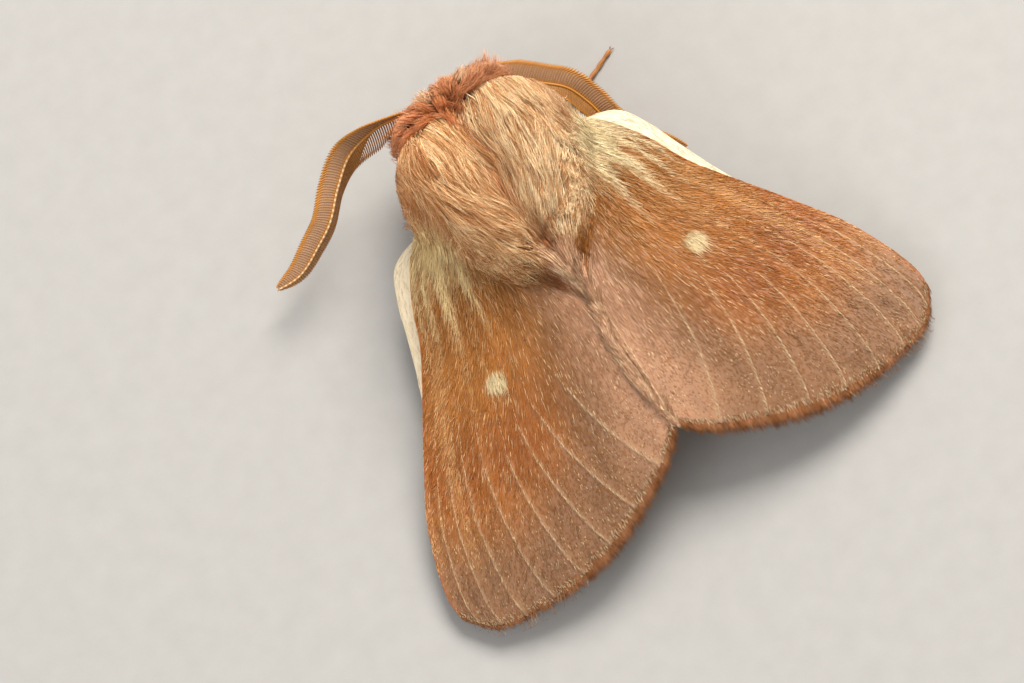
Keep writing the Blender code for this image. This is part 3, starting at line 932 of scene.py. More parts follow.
# %% The skin as one piece
FLESH = ["head", "collar", "thorax", "abdomen", "palp_left", "palp_right"]
FLESH += [f"{name}_{part}" for name in LEG_NAMES for part in ("thigh", "shin", "foot")]
trunk_size = STATIONS * AROUND
leg_colour = np.tile(mix(TAWNY, BARK, 0.3), (len(skin_points) - trunk_size, 1))
skin_colour = np.concatenate([body_colour(skin_points[:trunk_size]), leg_colour])
skin = build("skin", skin_points, skin_faces, {"pattern": skin_colour})
adopt(skin, SKIN, "thorax_fur", *FLESH)

# %% [markdown]
# ## Scattering tufts
# Hair doesn't grow evenly: it stands in tufts whose tips lean together.  So tufts are scattered
# first, evenly by area, and each tuft's hairs start in a small disc and end closer together.
# A hair follows its surface: its place in the two parameters moves along the flow, while it
# climbs from the skin to the coat's outer face.

# %% Scattering places
rng = np.random.default_rng(20)


def slopes(surface, along, around):
    """The surface's two tangents at places, by central differences."""
    h = 1e-3
    along = np.clip(along, h, 1 - h)
    lengthwise = (surface(along + h, around) - surface(along - h, around)) / (2 * h)
    crosswise = (surface(along, around + h) - surface(along, around - h)) / (2 * h)
    return lengthwise, crosswise


def scatter(surface, count, weight=None, cells=80):
    """count places on a surface, as likely anywhere by area, times an optional weight."""
    grid = (np.arange(cells) + 0.5) / cells
    along, around = square_grid(grid, grid)
    lengthwise, crosswise = slopes(surface, along, around)
    chance = np.linalg.norm(np.cross(lengthwise, crosswise), axis=1)
    if weight is not None:
        chance = chance * weight(along, around)
    picked = rng.choice(len(along), count, p=chance / chance.sum())
    jitter = rng.random((2, count)) - 0.5
    return along[picked] + jitter[0] / cells, around[picked] + jitter[1] / cells


def move_on(surface, along, around, direction):
    """How the two parameters change for one millimetre of travel along a direction laid onto
    the surface: the direction's parts along the two tangents, found by least squares."""
    a, b = slopes(surface, along, around)
    d = unit(direction)
    aa, bb, ab = (a * a).sum(-1), (b * b).sum(-1), (a * b).sum(-1)
    da, db = (d * a).sum(-1), (d * b).sum(-1)
    gap = np.maximum(aa * bb - ab**2, 1e-6)
    steps = np.stack([(da * bb - db * ab) / gap, (db * aa - da * ab) / gap], -1)
    travel = np.linalg.norm(steps[..., :1] * a + steps[..., 1:] * b, axis=-1)
    return steps / np.maximum(travel, 0.25)[..., None]


print("places can be scattered over:", ", ".join(COAT_DEPTH))

# %% [markdown]
# The hairs of a tuft share its direction and its patch of the bake map.  Each has its own tone,
# by which the material makes it lighter or darker.

# %% Growing hair in tufts
BLUNT = 0.35  # share of a hair's thickness that is left before its tip


def grow(surface, tufts, per_tuft, depth, length, flow, weight=None, steps=4, spread=0.16,
         gather=0.45, wild=0.25, stray=0.12):
    """Centre lines of hair in tufts.

    depth is how far below the outer face a root sits, length a range in millimetres, and
    flow(points) the direction of the lie.  wild turns each tuft by chance, gather is how much
    of the roots' spread is left at the tips, and stray lets tips end off the outer face."""
    along, around = scatter(surface, tufts, weight)
    roots = surface(along, around)
    lengthwise, crosswise = slopes(surface, along, around)
    outwards = unit(np.cross(crosswise, lengthwise))
    outwards *= np.sign((outwards * (roots - roots.mean(0))).sum(-1, keepdims=True))
    direction = unit(flow(roots)) + wild * rng.normal(size=(tufts, 3))
    step = move_on(surface, along, around, direction)
    size = rng.uniform(*length, tufts)
    shape = (tufts, per_tuft, 1)
    reach = shares(steps) * (size[:, None, None] * rng.uniform(0.75, 1.0, shape))
    lean = rng.normal(size=(tufts, per_tuft, 2)) * spread
    narrow = 1 - (1 - gather) * shares(steps)
    stretch = np.stack([np.linalg.norm(tangent, axis=1) for tangent in (lengthwise, crosswise)], -1)
    lean = lean[..., None, :] / np.maximum(stretch, 0.6)[:, None, None]
    a, b = (
        (root[:, None, None] + step[:, i, None, None] * reach) + lean[..., i] * narrow
        for i, root in enumerate((along, around))
    )
    climb = 1 - (1 - shares(steps)) ** 2
    inset = depth * (1 - climb) + stray * rng.normal(size=shape) * shares(steps)
    lines = surface(np.clip(a, 0.004, 0.996), b, inset)
    facing = np.repeat(outwards, per_tuft, axis=0)
    tuft_map = np.repeat(np.stack([along % 1, around % 1], -1) * 0.98 + 0.01, per_tuft, axis=0)
    tuft_tone = rng.normal(size=(tufts, 1)) * 0.16
    tone = np.clip(0.5 + tuft_tone + rng.normal(size=(tufts, per_tuft)) * 0.16, 0, 1).ravel()
    return lines.reshape(tufts * per_tuft, steps, 3), facing, tuft_map, tone


def taper(hairs, steps, thick):
    """Radii from root to tip: full for most of the length, then running out to BLUNT of it."""
    share = shares(steps)
    profile = (0.75 + 0.25 * np.sin(math.pi * share)) * (1 - (1 - BLUNT) * share**2)
    return thick * rng.uniform(0.7, 1.2, (hairs, 1)) * profile


def coat(name, grown, thick, pattern, material, slot):
    """One piece of coat from grown hair; pattern(lines, tone) colours it."""
    lines, facing, tuft_map, tone = grown
    hairs, steps = lines.shape[:2]
    share = np.tile(shares(steps), (hairs, 1))
    layers = {"pattern": pattern(lines, tone), "along": share, "tone": tone[:, None]}
    hair = spindles(name, lines, taper(hairs, steps, thick), facing, layers, tuft_map)
    return adopt(hair, material, slot)


print("hair narrows to", BLUNT, "of its thickness before the tip")

# %% [markdown]
# ## Hair combed over the back
# Seen from above, the back is a height field: one height for each place in plan.  That makes long
# hair easy: it only asks how high the back is where it passes.  The heights of thorax, collar,
# head and wings are joined by a smooth maximum, so hair runs on from one to the next.

# %% Height fields
def height_of(surface):
    """height(place) of a ringed surface from above.  Past its outline it falls away steeply, by
    as much as 1.2 mm."""
    share = shares(400)
    rim = surface(share, np.zeros(400))
    if rim[0, 1] > rim[-1, 1]:
        share, rim = share[::-1], rim[::-1]

    def height(place):
        x, y = place[..., 0], place[..., 1]
        along = np.interp(y, rim[:, 1], share)
        half_width = np.interp(y, rim[:, 1], rim[:, 0]) + 1e-6
        outside = np.maximum(np.abs(x) - half_width, 0)
        outside = outside + np.maximum(rim[0, 1] - y, 0) + np.maximum(y - rim[-1, 1], 0)
        turn = np.arccos(np.clip(x / half_width, -1, 1)) / TURN
        return surface(along, turn)[..., 2] - 3 * np.minimum(outside, 0.4)

    return height


def soft_top(*heights, firm=6):
    """Smooth maximum of heights: log(sum(exp(firm * z))) / firm."""
    return np.log(sum(np.exp(firm * z) for z in heights)) / firm


thorax_height, collar_height, head_height = (height_of(body) for body in (thorax, collar, head))


def back_height(place):
    """The back's fur, in front of it the collar, and beside and behind it the wings."""
    return soft_top(thorax_height(place), collar_height(place), wing_top(place) + 0.05, firm=3.5)


def ruff_height(place):
    """The collar with the head before it and the thorax's front behind it."""
    return soft_top(collar_height(place), head_height(place) + 0.1, thorax_height(place) + 0.1)


print("height of the back over the midline:", back_height(np.array([0.0, -5.0])).round(2))

# %% [markdown]
# A lock starts at a root, takes a few strides along the lie of the coat, and at each stride asks
# how high the back is there.  Its hairs share the lock's path, keep part of their spread and
# wander a little.

# %% Combing locks over a height field
PROBE = 0.1  # mm over which slopes are measured


def comb_over(height, roots, length, heading, per_lock, spread, gather, sink, fluff, steps=5,
              wave=0.05, turn=0.0):
    """Centre lines of hair in locks over a height field.

    roots are (locks, 2) in plan, length is one per lock, and heading(place) is the lie of the
    coat there.  A hair starts sink below the height field and ends near it, by chance up to
    fluff above.  gather is the part of a lock's spread that is left at its tip, wave bends
    each hair a little, and turn sends each lock aside by chance."""
    path = [roots]
    bend = turn * rng.normal(size=(len(roots), 1)) * [1.0, 0.0]
    for _ in range(steps - 1):
        here = path[-1]
        ahead = unit(heading(here) + bend)
        rise = (height(here + PROBE * ahead) - height(here)) / PROBE
        stride = length / (steps - 1) / np.sqrt(1 + np.clip(rise, -3, 3) ** 2)
        path.append(here + ahead * stride[:, None])
    path = np.stack(path, 1)[:, None]
    locks = len(roots)
    share = shares(steps)
    each = (locks, per_lock, 1, 1)
    offset = spread * rng.normal(size=(locks, per_lock, 1, 2))
    plan = path[:, :, :1] + (path - path[:, :, :1]) * rng.uniform(0.65, 1.0, each)
    plan = plan + offset * (1 - (1 - gather) * share)[:, None]
    phase = TURN * rng.random((locks, per_lock, 1, 2))
    plan = plan + wave * rng.normal(size=each) * share[:, None] * np.sin(phase + 4.5 * share[:, None])
    sunk = np.reshape(sink, (-1, 1, 1)) * rng.uniform(0.3, 1.0, (locks, per_lock, 1)) * (1 - share) ** 2
    chance = np.minimum(rng.exponential(0.5, (locks, per_lock, 1)), 1.2)
    raised = np.reshape(fluff, (-1, 1, 1)) * chance * share**1.5
    lines = np.concatenate([plan, (height(plan) - sunk + raised - 0.03)[..., None]], -1)
    slope = np.stack([(height(roots + step) - height(roots)) / PROBE for step in PROBE * np.eye(2)], -1)
    facing = unit(np.concatenate([-slope, np.ones((locks, 1))], -1))
    lock_tone = rng.normal(size=(locks, 1)) * 0.17
    tone = np.clip(0.5 + lock_tone + rng.normal(size=(locks, per_lock)) * 0.2, 0, 1)
    tuft_map = np.repeat(unwrap(lines[:, 0, 0]), per_lock, axis=0)
    return lines.reshape(-1, steps, 3), np.repeat(facing, per_lock, axis=0), tuft_map, tone.ravel()


def unwrap(roots):
    """Places on the bake map: length along the body and turn round it, each from 0 to 1."""
    along = (roots[:, 1] + 12) / 24
    turn = np.arctan2(roots[:, 2] - 4.5, roots[:, 0]) / TURN % 1
    return np.stack([along, turn], -1)


def plan_roots(surface, locks, side, rim=0.0):
    """Roots in plan, spread by area over the upper half of a ringed surface on one side, apart
    from a rim at both edges, given as a share of a full turn."""

    def upper(along, around):
        return ((around > rim) & (around < 0.5 - rim)).astype(float)

    roots = surface(*scatter(surface, locks, upper))[:, :2]
    roots[:, 0] = np.abs(roots[:, 0]) * side
    return roots


print("slopes are measured over", PROBE, "mm")

# %% [markdown]
# ## The thorax's fur
# The back carries two great shoulder tufts of fawn hair, parted down the middle.  The hair
# fans out from the crown of each tuft, runs straight back, and behind closes in to a V over the
# wings.

# %% Thorax fur
def thorax_heading(place):
    """Lie of the back's hair in plan: fanned in front, straight in the middle, inwards behind,
    and outwards along the wings at the sides, with slow swirls."""
    x, y = place[..., 0], place[..., 1]
    out = np.abs(x)
    side = np.where(x < 0, -1, 1)
    front = fall(y, -9.0, -6.5)
    rear = ramp(y, -6.3, -2.5)
    fan = 0.28 * (out - 1.9) * front * fall(out, 2.8, 3.8)
    fan = fan - 0.25 * ramp(out, 3.6, 4.4) * fall(y, -6.0, -5.0)
    inwards = 0.55 * rear * ramp(out, 0.0, 0.9) * fall(out, 2.4, 3.6)
    outwards = 0.8 * ramp(y, -6.5, -4.0) * ramp(out, 2.9, 4.2)
    swirl = 0.14 * np.sin(1.3 * y + 1.9 * x) + 0.10 * np.sin(2.9 * x - 0.8 * y)
    swirl = swirl * fall(out, 3.0, 4.0)
    return np.stack([side * (fan - inwards + outwards) + swirl, np.ones_like(y)], -1)


def thorax_flow(points):
    """Lie of the flanks' hair: back and down."""
    x, y, z = np.moveaxis(points, -1, 0)
    down = -0.55 * fall(z, 3.5, 6.5)
    return np.stack([0.12 * np.sin(2 * y + x), np.ones_like(y), down], -1)


def thorax_pattern(lines, tone):
    """Each hair has the colour of the place where it grows."""
    return thorax_colour(lines[:, :1], tone[:, None])


def tuft_coat(name, side, locks, rim, length, thick, sink, **comb):
    """Hair of a shoulder tuft, whose locks start behind the collar and end near the tuft's rear
    edge."""
    roots = plan_roots(thorax, locks, side, rim)
    front = COLLAR_LINE + 0.2 * bell(roots[:, 0], 0.7) + 0.04 * rng.normal(size=len(roots))
    roots = roots[(tuft_room(roots) > 0.3) & (roots[:, 1] > front)]
    sink = sink * (0.6 + 0.4 * ramp(roots[:, 1] - shift, -9.4, -8.4))
    wanted = rng.uniform(*length, len(roots))
    length = np.minimum(wanted, tuft_room(roots) + rng.uniform(-0.5, 0.3, len(roots)))
    grown = comb_over(back_height, roots, length, thorax_heading, sink=sink, turn=0.13, **comb)
    return coat(name, grown, thick, thorax_pattern, FUR, "thorax_fur")


def flank_coat(name, side):
    """Shorter hair on one side, from below the tuft to the legs, most of it along the widest
    line."""

    def weight(along, around):
        turn = around % 1 if side == LEFT else (0.5 - around) % 1
        return (turn < 0.11) * 5.0 + (turn > 0.9) * 4.0 + ((turn > 0.72) & (turn <= 0.9)) * 1.8

    flank = grow(
        thorax, tufts=290, per_tuft=15, depth=0.6, length=(0.9, 1.6), flow=thorax_flow, weight=weight,
        spread=0.17, gather=0.55, wild=0.12, stray=0.0,
    )
    return coat(name, flank, 0.015, thorax_pattern, FUR, "thorax_fur")


for word, side in SIDES.items():
    tuft_coat(
        f"thorax_underfur_{word}", side, locks=440, rim=0.08, length=(1.2, 2.0), thick=0.028,
        sink=0.6, per_lock=7, spread=0.26, gather=0.8, fluff=0.03, steps=4,
    )
    tuft_coat(
        f"thorax_fur_{word}", side, locks=420, rim=0.05, length=(2.6, 4.4), thick=0.013,
        sink=0.35, per_lock=18, spread=0.15, gather=0.30, fluff=0.28,
    )
    flank_coat(f"thorax_fur_flank_{word}", side)

# %% [markdown]
# Behind the tufts the thorax carries shorter hair in the wings' colours, which hides the wings'
# roots.

# %% Fur behind the tufts
roots = np.concatenate([plan_roots(thorax, 820, side) for side in SIDES.values()])
roots = roots[tuft_room(roots) < 0.9]
length = rng.uniform(0.9, 1.6, len(roots)) + 0.9 * ramp(np.abs(roots[:, 0]), 2.8, 3.8)
rear = comb_over(
    back_height, roots, length, thorax_heading, per_lock=8, spread=0.18, gather=0.5, sink=0.5, fluff=0.05
)
coat("thorax_fur_rear", rear, 0.017, thorax_pattern, FUR, "thorax_fur")

# %% [markdown]
# ## The collar
# A short rusty ruff stands between thorax and head.  On top its hair sweeps outwards from the
# parting and stands up a little over the head.  Below, it closes round the neck.

# %% Collar fur
def ruff_heading(place):
    """Outwards from the parting, forwards in front and back over the thorax behind."""
    x, y = place[..., 0], place[..., 1]
    aside = x - PARTING_X
    sweep = np.sign(aside) * ramp(np.abs(aside), 0.0, 1.5)
    forwards = -0.85 + 0.3 * np.sin(5.1 * x + 1.0) + ramp(y, -10.15 + shift, -9.55 + shift)
    return np.stack([sweep + 0.35 * np.sin(6.0 * x + 3 * y), forwards], -1)


def tuftiness(x):
    """0 between the collar's tufts and 1 in the middle of each, about 0.85 mm apart."""
    return 0.5 + 0.5 * np.cos(TURN * (x - 0.68) / 0.87)


def collar_flow(points):
    """Lie of the hair round the neck: forwards and down, and outwards on both sides."""
    x = points[..., 0]
    return np.stack([0.38 * x, -1.0 + 0.2 * np.sin(3.3 * x), np.full_like(x, -0.6)], -1)


def collar_pattern(lines, tone):
    """The ruff's colours by each hair's root, a little paler to the tip as a painted highlight."""
    tip = shares(lines.shape[1]) * np.ones((len(lines), 1))
    # Painted highlight: each hair pales towards its tip.
    return mix(ruff_colour(lines[:, :1], tone[:, None]), SALMON, 0.35 * tip)


for word, side in SIDES.items():
    roots = plan_roots(collar, 315, side)
    roots = roots[roots[:, 1] < COLLAR_LINE + 0.05 * rng.normal(size=len(roots))]
    high = tuftiness(roots[:, 0]) * fall(np.abs(roots[:, 0]), 1.8, 2.6)
    length = rng.uniform(0.8, 1.2, len(roots)) + 0.6 * high
    ruff = comb_over(
        ruff_height, roots, length, ruff_heading, per_lock=12, spread=0.13, gather=0.45, sink=0.5,
        fluff=0.16 + 0.65 * high, wave=0.07,
    )
    coat(f"collar_fur_{word}", ruff, 0.015, collar_pattern, RUFF, "collar_fur")
below = grow(
    collar, tufts=180, per_tuft=6, depth=0.55, length=(0.8, 1.2), flow=collar_flow, steps=5,
    weight=lambda along, around: 1.0 * (around > 0.5), spread=0.09, stray=0.1,
)
coat("collar_fur_below", below, 0.024, collar_pattern, RUFF, "collar_fur")

# %% [markdown]
# Where the parting starts, a slim tuft of rust hair dips from the collar into it.

# %% Tuft in the parting
DIP_LOCKS = 40


def dip_heading(place):
    """Straight back, waving a little."""
    return np.stack([0.25 * np.sin(7 * place[..., 0]), np.ones(len(place))], -1)


def dip_pattern(lines, tone):
    """Rust to salmon by each hair's tone."""
    return mix(RUST, SALMON, 0.4 * tone[:, None])


beside = PARTING_X + 0.09 * rng.normal(size=DIP_LOCKS)
roots = np.stack([beside, shift + rng.uniform(-10.2, -9.3, DIP_LOCKS)], -1)
length = rng.uniform(0.8, 1.4, DIP_LOCKS)
dip = comb_over(
    ruff_height, roots, length, dip_heading, per_lock=10, spread=0.06, gather=0.4, sink=0.2, fluff=0.10
)
coat("parting_tuft", dip, 0.015, dip_pattern, RUFF, "collar_fur")

# %% [markdown]
# ## The wings' faces
# A wing is a thin closed sheet.  Its upper face carries raised veins with shallow folds between
# them, made as real relief; the lower face follows it a tenth of a millimetre below.  A rim of
# quads joins the two.

# %% Wing sheets
MEMBRANE = 0.10
UNDER_SCALES = 0.09  # how far the sheet lies below the solid's upper face
FRINGE_START = 0.970
REAR_EDGE = 0.995  # the last share before a wing's end that scales and the pale sheet reach


def closed_sheet(top, bottom):
    """Points and faces of a shell from two equal grids of points, the rim closed by quads."""
    rows, columns = top.shape[:2]
    quads = grid_quads(rows, columns)
    under = rows * columns
    number = np.arange(under).reshape(rows, columns)
    rim = np.concatenate([number[:-1, 0], number[-1, :-1], number[:0:-1, -1], number[0, :0:-1]])
    after = np.roll(rim, -1)
    wall = np.stack([rim, rim + under, after + under, after], 1)
    points = np.concatenate([top.reshape(-1, 3), bottom.reshape(-1, 3)])
    return points, [quads, quads[:, ::-1] + under, wall]


def face_upwards(faces, points):
    """Turns every face of a sheet over if its first grid looks down."""
    a, b, c = (points[faces[0][:, i]] for i in (0, 1, 2))
    return faces if np.cross(b - a, c - a)[:, 2].sum() > 0 else [f[:, ::-1] for f in faces]


def vein_relief(along, back):
    """Veins stand 0.05 mm proud as bell curves, and the skin between them sags a little."""
    gap = np.abs(vein_gap(along, back))
    raised = 0.05 * bell(gap, 0.08) * ramp(along, 0.3, 0.6)
    return raised - 0.035 * ramp(gap, 0.0, 0.6) * ramp(along, 0.4, 0.8)


def wing_sheet(name, surface, pattern, rows, columns, relief=None, far_edge=REAR_EDGE):
    """A closed sheet between surface(along, back, lift) and the same a membrane lower, from the
    root to far_edge, with relief(along, back) added to the lift of both."""
    along, back = np.meshgrid(np.linspace(0, far_edge, rows), shares(columns), indexing="ij")
    lift = relief(along, back) if relief else 0.0
    top = surface(along, back, lift - UNDER_SCALES)
    bottom = surface(along, back, lift - UNDER_SCALES - MEMBRANE)
    points, faces = closed_sheet(top, bottom)
    colour = np.tile(pattern(along, back).reshape(-1, 3), (2, 1))
    return build(name, points, face_upwards(faces, points), {"pattern": colour})


for word in SIDES:
    gilded = partial(forewing_pattern, gold=SHOULDER[word])
    sheet = wing_sheet(
        f"forewing_face_{word}", forewings[word], gilded, rows=84, columns=140, relief=vein_relief,
        far_edge=FRINGE_START,
    )
    adopt(sheet, WING_FACE, "forewing_scales", f"forewing_{word}")
    sheet = wing_sheet(f"hindwing_face_{word}", hindwings[word], hindwing_pattern, rows=70, columns=50)
    adopt(sheet, WING_FACE, "hindwing_scales", f"hindwing_{word}")

# %% [markdown]
# ## The wings' scales
# Scales lie like roof tiles from root to fringe.  On this moth they are hair-like: long and loose
# at the shoulder, shorter over the rest, grainy towards the fringe.  Each is a short spindle that
# starts in the membrane and lies back on it.

# %% Laying scales
def lay_scales(surface, places, length, lift, turn=0.12, lean=0.0, steps=3):
    """Centre lines of scales that start at places, (along, back).  A scale runs outwards for
    length mm, turned a little by chance and by lean, and rises to lift above the membrane before
    it lies down."""
    along, back = places
    count = len(along)
    ahead, across = slopes(surface, along, back)
    size = length * rng.uniform(0.7, 1.25, count)
    bend = lean + rng.normal(size=count) * turn
    share = shares(steps)
    a, b = (
        start[:, None] + (size / np.linalg.norm(tangent, axis=1))[:, None] * share * way(bend)[:, None]
        for start, tangent, way in ((along, ahead, np.cos), (back, across, np.sin))
    )
    height = np.reshape(lift, (-1, 1)) * np.sin(math.pi * (0.12 + 0.68 * share)) - UNDER_SCALES - 0.01
    lines = surface(np.clip(a, 0, 1), np.clip(b, 0, 1), height + vein_relief(a, b) * 0.8)
    facing = unit(np.cross(ahead, across))
    facing *= np.sign(facing[:, 2:])
    return along, back, lines, facing


def scale_coat(name, laid, thick, colour, material, slot, flat=0.4):
    """One piece of coat from laid scales, with a colour and a chance tone for each."""
    along, back, lines, facing = laid
    count, steps = lines.shape[:2]
    layers = {
        "pattern": colour[:, None],
        "along": shares(steps)[None],
        "tone": np.clip(0.5 + rng.normal(size=(count, 1)) * 0.26, 0, 1),
    }
    tuft_map = np.stack([along, back], -1) * 0.98 + 0.01
    obj = spindles(name, lines, taper(count, steps, thick), facing, layers, tuft_map, flat=flat)
    return adopt(obj, material, slot)


print("scales lie", UNDER_SCALES, "mm below the wings' upper faces")

# %% [markdown]
# The forewing's scales take the pattern at their own roots, with chance flecks of straw and dark
# brown.  One function lays them all over, one by the shoulder and one on the veins.

# %% The forewings' flecks
def flecked(along, back, glints, gold):
    """The wing's pattern with chance flecks: strands of straw along the front edge, a share of
    straw glints near the body, fine pale specks towards the fringe and dark ones everywhere."""
    chance, second = rng.random((2, len(along)))
    outer = ramp(along, 0.55, 0.85)
    spot = spot_mask(along, back)
    plain = 1 - spot
    front = fall(back + 0.2 * along, 0.25, 0.50) * fall(along, 0.8, 0.95)
    strands = ramp(mottle(1.7 * CHORD * back, 3 * along) + 0.8 * second, 0.2, 1.0) * front
    colour = mix(forewing_pattern(along, back, gold), mix(TAWNY, FAWN, 0.8), 0.40 * plain * strands)
    colour = mix(colour, mix(FAWN, STRAW, 0.6), 0.40 * plain * (chance < glints * (1 - outer)))
    colour = mix(colour, STRAW, 0.22 * plain * (chance > 1 - 0.15 * outer))
    colour = mix(colour, UMBER, 0.45 * plain * ((chance > 0.5) & (chance < 0.62)))
    colour = mix(colour, TAWNY, 0.5 * spot * (chance < 0.12))
    return mix(colour, gold, 0.98 * shoulder_mask(along, back) * (second > 0.15))


def outwards_places(surface, count, weight, far_edge):
    """Scattered places, drawn in towards the root so that they end at far_edge."""
    along, back = scatter(surface, count, weight)
    return along * far_edge, back


def shoulder_first(along, back):
    """Long hair-scales grow near the body, most of them at the shoulder."""
    near = fall(along, 0.15, 0.55) * (1 - 0.5 * ramp(back, 0.5, 0.8))
    return near + 0.15 * fall(back, 0.3, 0.6)


def spot_first(along, back):
    """More scales on the spot."""
    return 1 + 1.2 * spot_mask(along, back)


def all_over(word):
    """Scales over the whole forewing: long near the body, short and broad near the fringe, and
    raised on the spot."""
    along, back = places = outwards_places(forewings[word], 13700, spot_first, FRINGE_START)
    inner = fall(along, 0.45, 0.90)
    spot = spot_mask(along, back)
    length = 0.14 + 0.44 * inner * (1 - 0.3 * ramp(back, 0.5, 0.9)) - 0.06 * spot
    lift = 0.022 + 0.035 * inner + 0.06 * spot
    lean = -0.45 * inner * fall(back, 0.25, 0.8) * (1 - spot)
    laid = lay_scales(forewings[word], places, length, lift, lean=lean)
    thick = (0.030 - 0.013 * inner - 0.004 * spot)[:, None]
    colour = flecked(along, back, 0.08, SHOULDER[word])
    scale_coat(f"forewing_scales_{word}", laid, thick, colour, SCALES, "forewing_scales", 0.3)


def by_shoulder(word):
    """Long hair-scales by the shoulder, which lean towards the front edge."""
    along, back = places = outwards_places(forewings[word], 3600, shoulder_first, 1.0)
    near = fall(along, 0.15, 0.45)
    lean = -0.35 * fall(back, 0.3, 0.8)
    laid = lay_scales(forewings[word], places, 0.5 + 0.6 * near, 0.08 + 0.10 * near, 0.20, lean, steps=4)
    colour = flecked(along, back, 0.20, SHOULDER[word])
    scale_coat(f"shoulder_hair_{word}", laid, 0.013, colour, GOLD_SCALES, "forewing_scales", flat=0.8)


def vein_places(veins, per_vein, start):
    """Chance places on veins, per_vein on each, from start to the fringe."""
    along = rng.uniform(start, FRINGE_START - 0.01, (len(veins), per_vein))
    back = np.array([vein_back(vein, row) for vein, row in zip(veins, along)])
    return along.ravel(), back.ravel()


def on_veins(word):
    """Pale raised scales on the veins and a row of dark ones, painted shadow, in front of most of them."""
    along, back = vein_places(VEINS, 100, 0.5)
    back = np.clip(back + rng.normal(size=along.size) * 0.0012, 0.0, REAR_EDGE)
    laid = lay_scales(forewings[word], (along, back), 0.24, 0.065, turn=0.08)
    pale = 0.2 + 0.3 * rng.random(along.size)
    colour = mix(forewing_pattern(along, back), mix(FAWN, STRAW, 0.7), pale)
    scale_coat(f"vein_scales_{word}", laid, 0.014, colour, SCALES, "forewing_scales")
    # A row of dark scales in front of the veins: painted shadow of the raised veins.
    along, back = vein_places(VEINS[2:], 45, 0.76)
    back = np.clip(back - 0.0062, 0.0, REAR_EDGE)
    laid = lay_scales(forewings[word], (along, back), 0.2, 0.05, turn=0.06)
    colour = mix(forewing_pattern(along, back), BARK, 0.9 * ramp(along, 0.74, 0.86))
    scale_coat(f"vein_shade_{word}", laid, 0.014, colour, SCALES, "forewing_scales")


for word in SIDES:
    all_over(word)
    by_shoulder(word)
    on_veins(word)

# %% [markdown]
# The hindwings are cream and show only as a lobe in front of the forewings, so scales are laid on
# that part alone.

# %% Hindwing scales
def lobe_first(along, back):
    """Only the part that the forewing leaves bare, with a margin."""
    return 1.0 * (back < 0.4) * (along < 0.75)


for word in SIDES:
    along, back = places = scatter(hindwings[word], 2200, lobe_first)
    laid = lay_scales(hindwings[word], places, 0.32, 0.035, turn=0.06)
    colour = mix(hindwing_pattern(along, back), TAUPE, 0.3 * (rng.random(len(along)) < 0.1))
    scale_coat(f"hindwing_scales_{word}", laid, 0.018, colour, PALE_SCALES, "hindwing_scales")

# %% [markdown]
# ## Fringes
# The outer edge carries a dense fringe of short hairs, with a pale line of shorter ones at its
# base.

# %% Fringes
def fringe_lines(surface, count, length, start, flare, raised=0.0, steps=3):
    """Hairs that stand out from the outer edge: along grows from start by length, back drifts
    by flare, and the tips droop a little.  They come in small bunches, and grow longer from the
    wing's tip to its inner half."""
    back = rng.random(count)
    along = start + rng.uniform(-0.012, 0.004, count)
    share = shares(steps)
    bunch = 0.92 + 0.08 * np.sin(170 * back + 3 * np.sin(31 * back))
    reach = length * bunch * rng.uniform(0.75, 1.1, count) * (0.45 + 0.55 * ramp(back, 0.25, 0.65))
    a = along[:, None] + reach[:, None] * share
    b = back[:, None] + (flare * rng.normal(size=count))[:, None] * share
    height = raised - UNDER_SCALES - 0.04 + rng.uniform(-0.05, 0.05, (count, 1)) - 0.08 * share**2
    return along, back, surface(a, np.clip(b, 0, 1), height), np.tile(UP, (count, 1))


for word, reach in (("left", 0.042), ("right", 0.049)):
    laid = fringe_lines(forewings[word], 3700, reach, FRINGE_START - 0.004, flare=0.004)
    dark = 0.45 + 0.35 * np.sin(90 * laid[1]) * np.sin(37 * laid[1])
    colour = mix(mix(RUSSET, LILAC, 0.5), UMBER, dark)
    scale_coat(f"forewing_fringe_{word}", laid, 0.012, colour, SHORT_FUR, "forewing_scales", flat=1.0)
    laid = fringe_lines(forewings[word], 900, 0.013, FRINGE_START - 0.006, flare=0.003, raised=0.05)
    colour = mix(TAUPE, STRAW, 0.25 + 0.35 * rng.random(len(laid[1])))
    scale_coat(f"fringe_line_{word}", laid, 0.016, colour, SHORT_FUR, "forewing_scales")

# %% [markdown]
# The two inner edges wander a little where they meet.  Long rosy hair runs together behind the
# thorax, and from there a narrow comb of hair follows the seam.

# %% Hair of the seam
SEAM_WANDER = [(-1.0, 0.1), (1.45, -0.2), (4.6, 0.3), (8.4, 0.0)]


def seam_x(y):
    """The wandering line on which the two forewings meet: y, then x."""
    knots = np.array(SEAM_WANDER)
    share = np.clip((y - knots[0, 0]) / (knots[-1, 0] - knots[0, 0]), 0, 1)
    return on_curve(knots, share)[..., 1]


def wing_height(place):
    """Height of the scales on the forewings over the given places."""
    return wing_top(place) + 0.02


def midline_heading(place):
    """Back along the seam, with a slow weave."""
    x, y = place[..., 0], place[..., 1]
    return np.stack([0.6 * (seam_x(y + 0.5) - x) + 0.15 * np.sin(5 * x + 2 * y), np.ones_like(y)], -1)


def midline_pattern(lines, tone):
    """Rosy straw on the seam, with a line of painted shadow on its left side."""
    x, y = lines[:, :1, 0], lines[:, :1, 1]
    colour = mix(ROSE, STRAW, 0.6 * ramp(tone[:, None], 0.3, 0.9))
    beside = x - seam_x(y)
    colour = mix(colour, TAUPE, 0.75 * ramp(np.abs(beside), 0.15, 0.35))
    # Painted shadow in the seam between the two forewings.
    return mix(colour, UMBER, 0.35 * bell(beside - 0.13, 0.05))


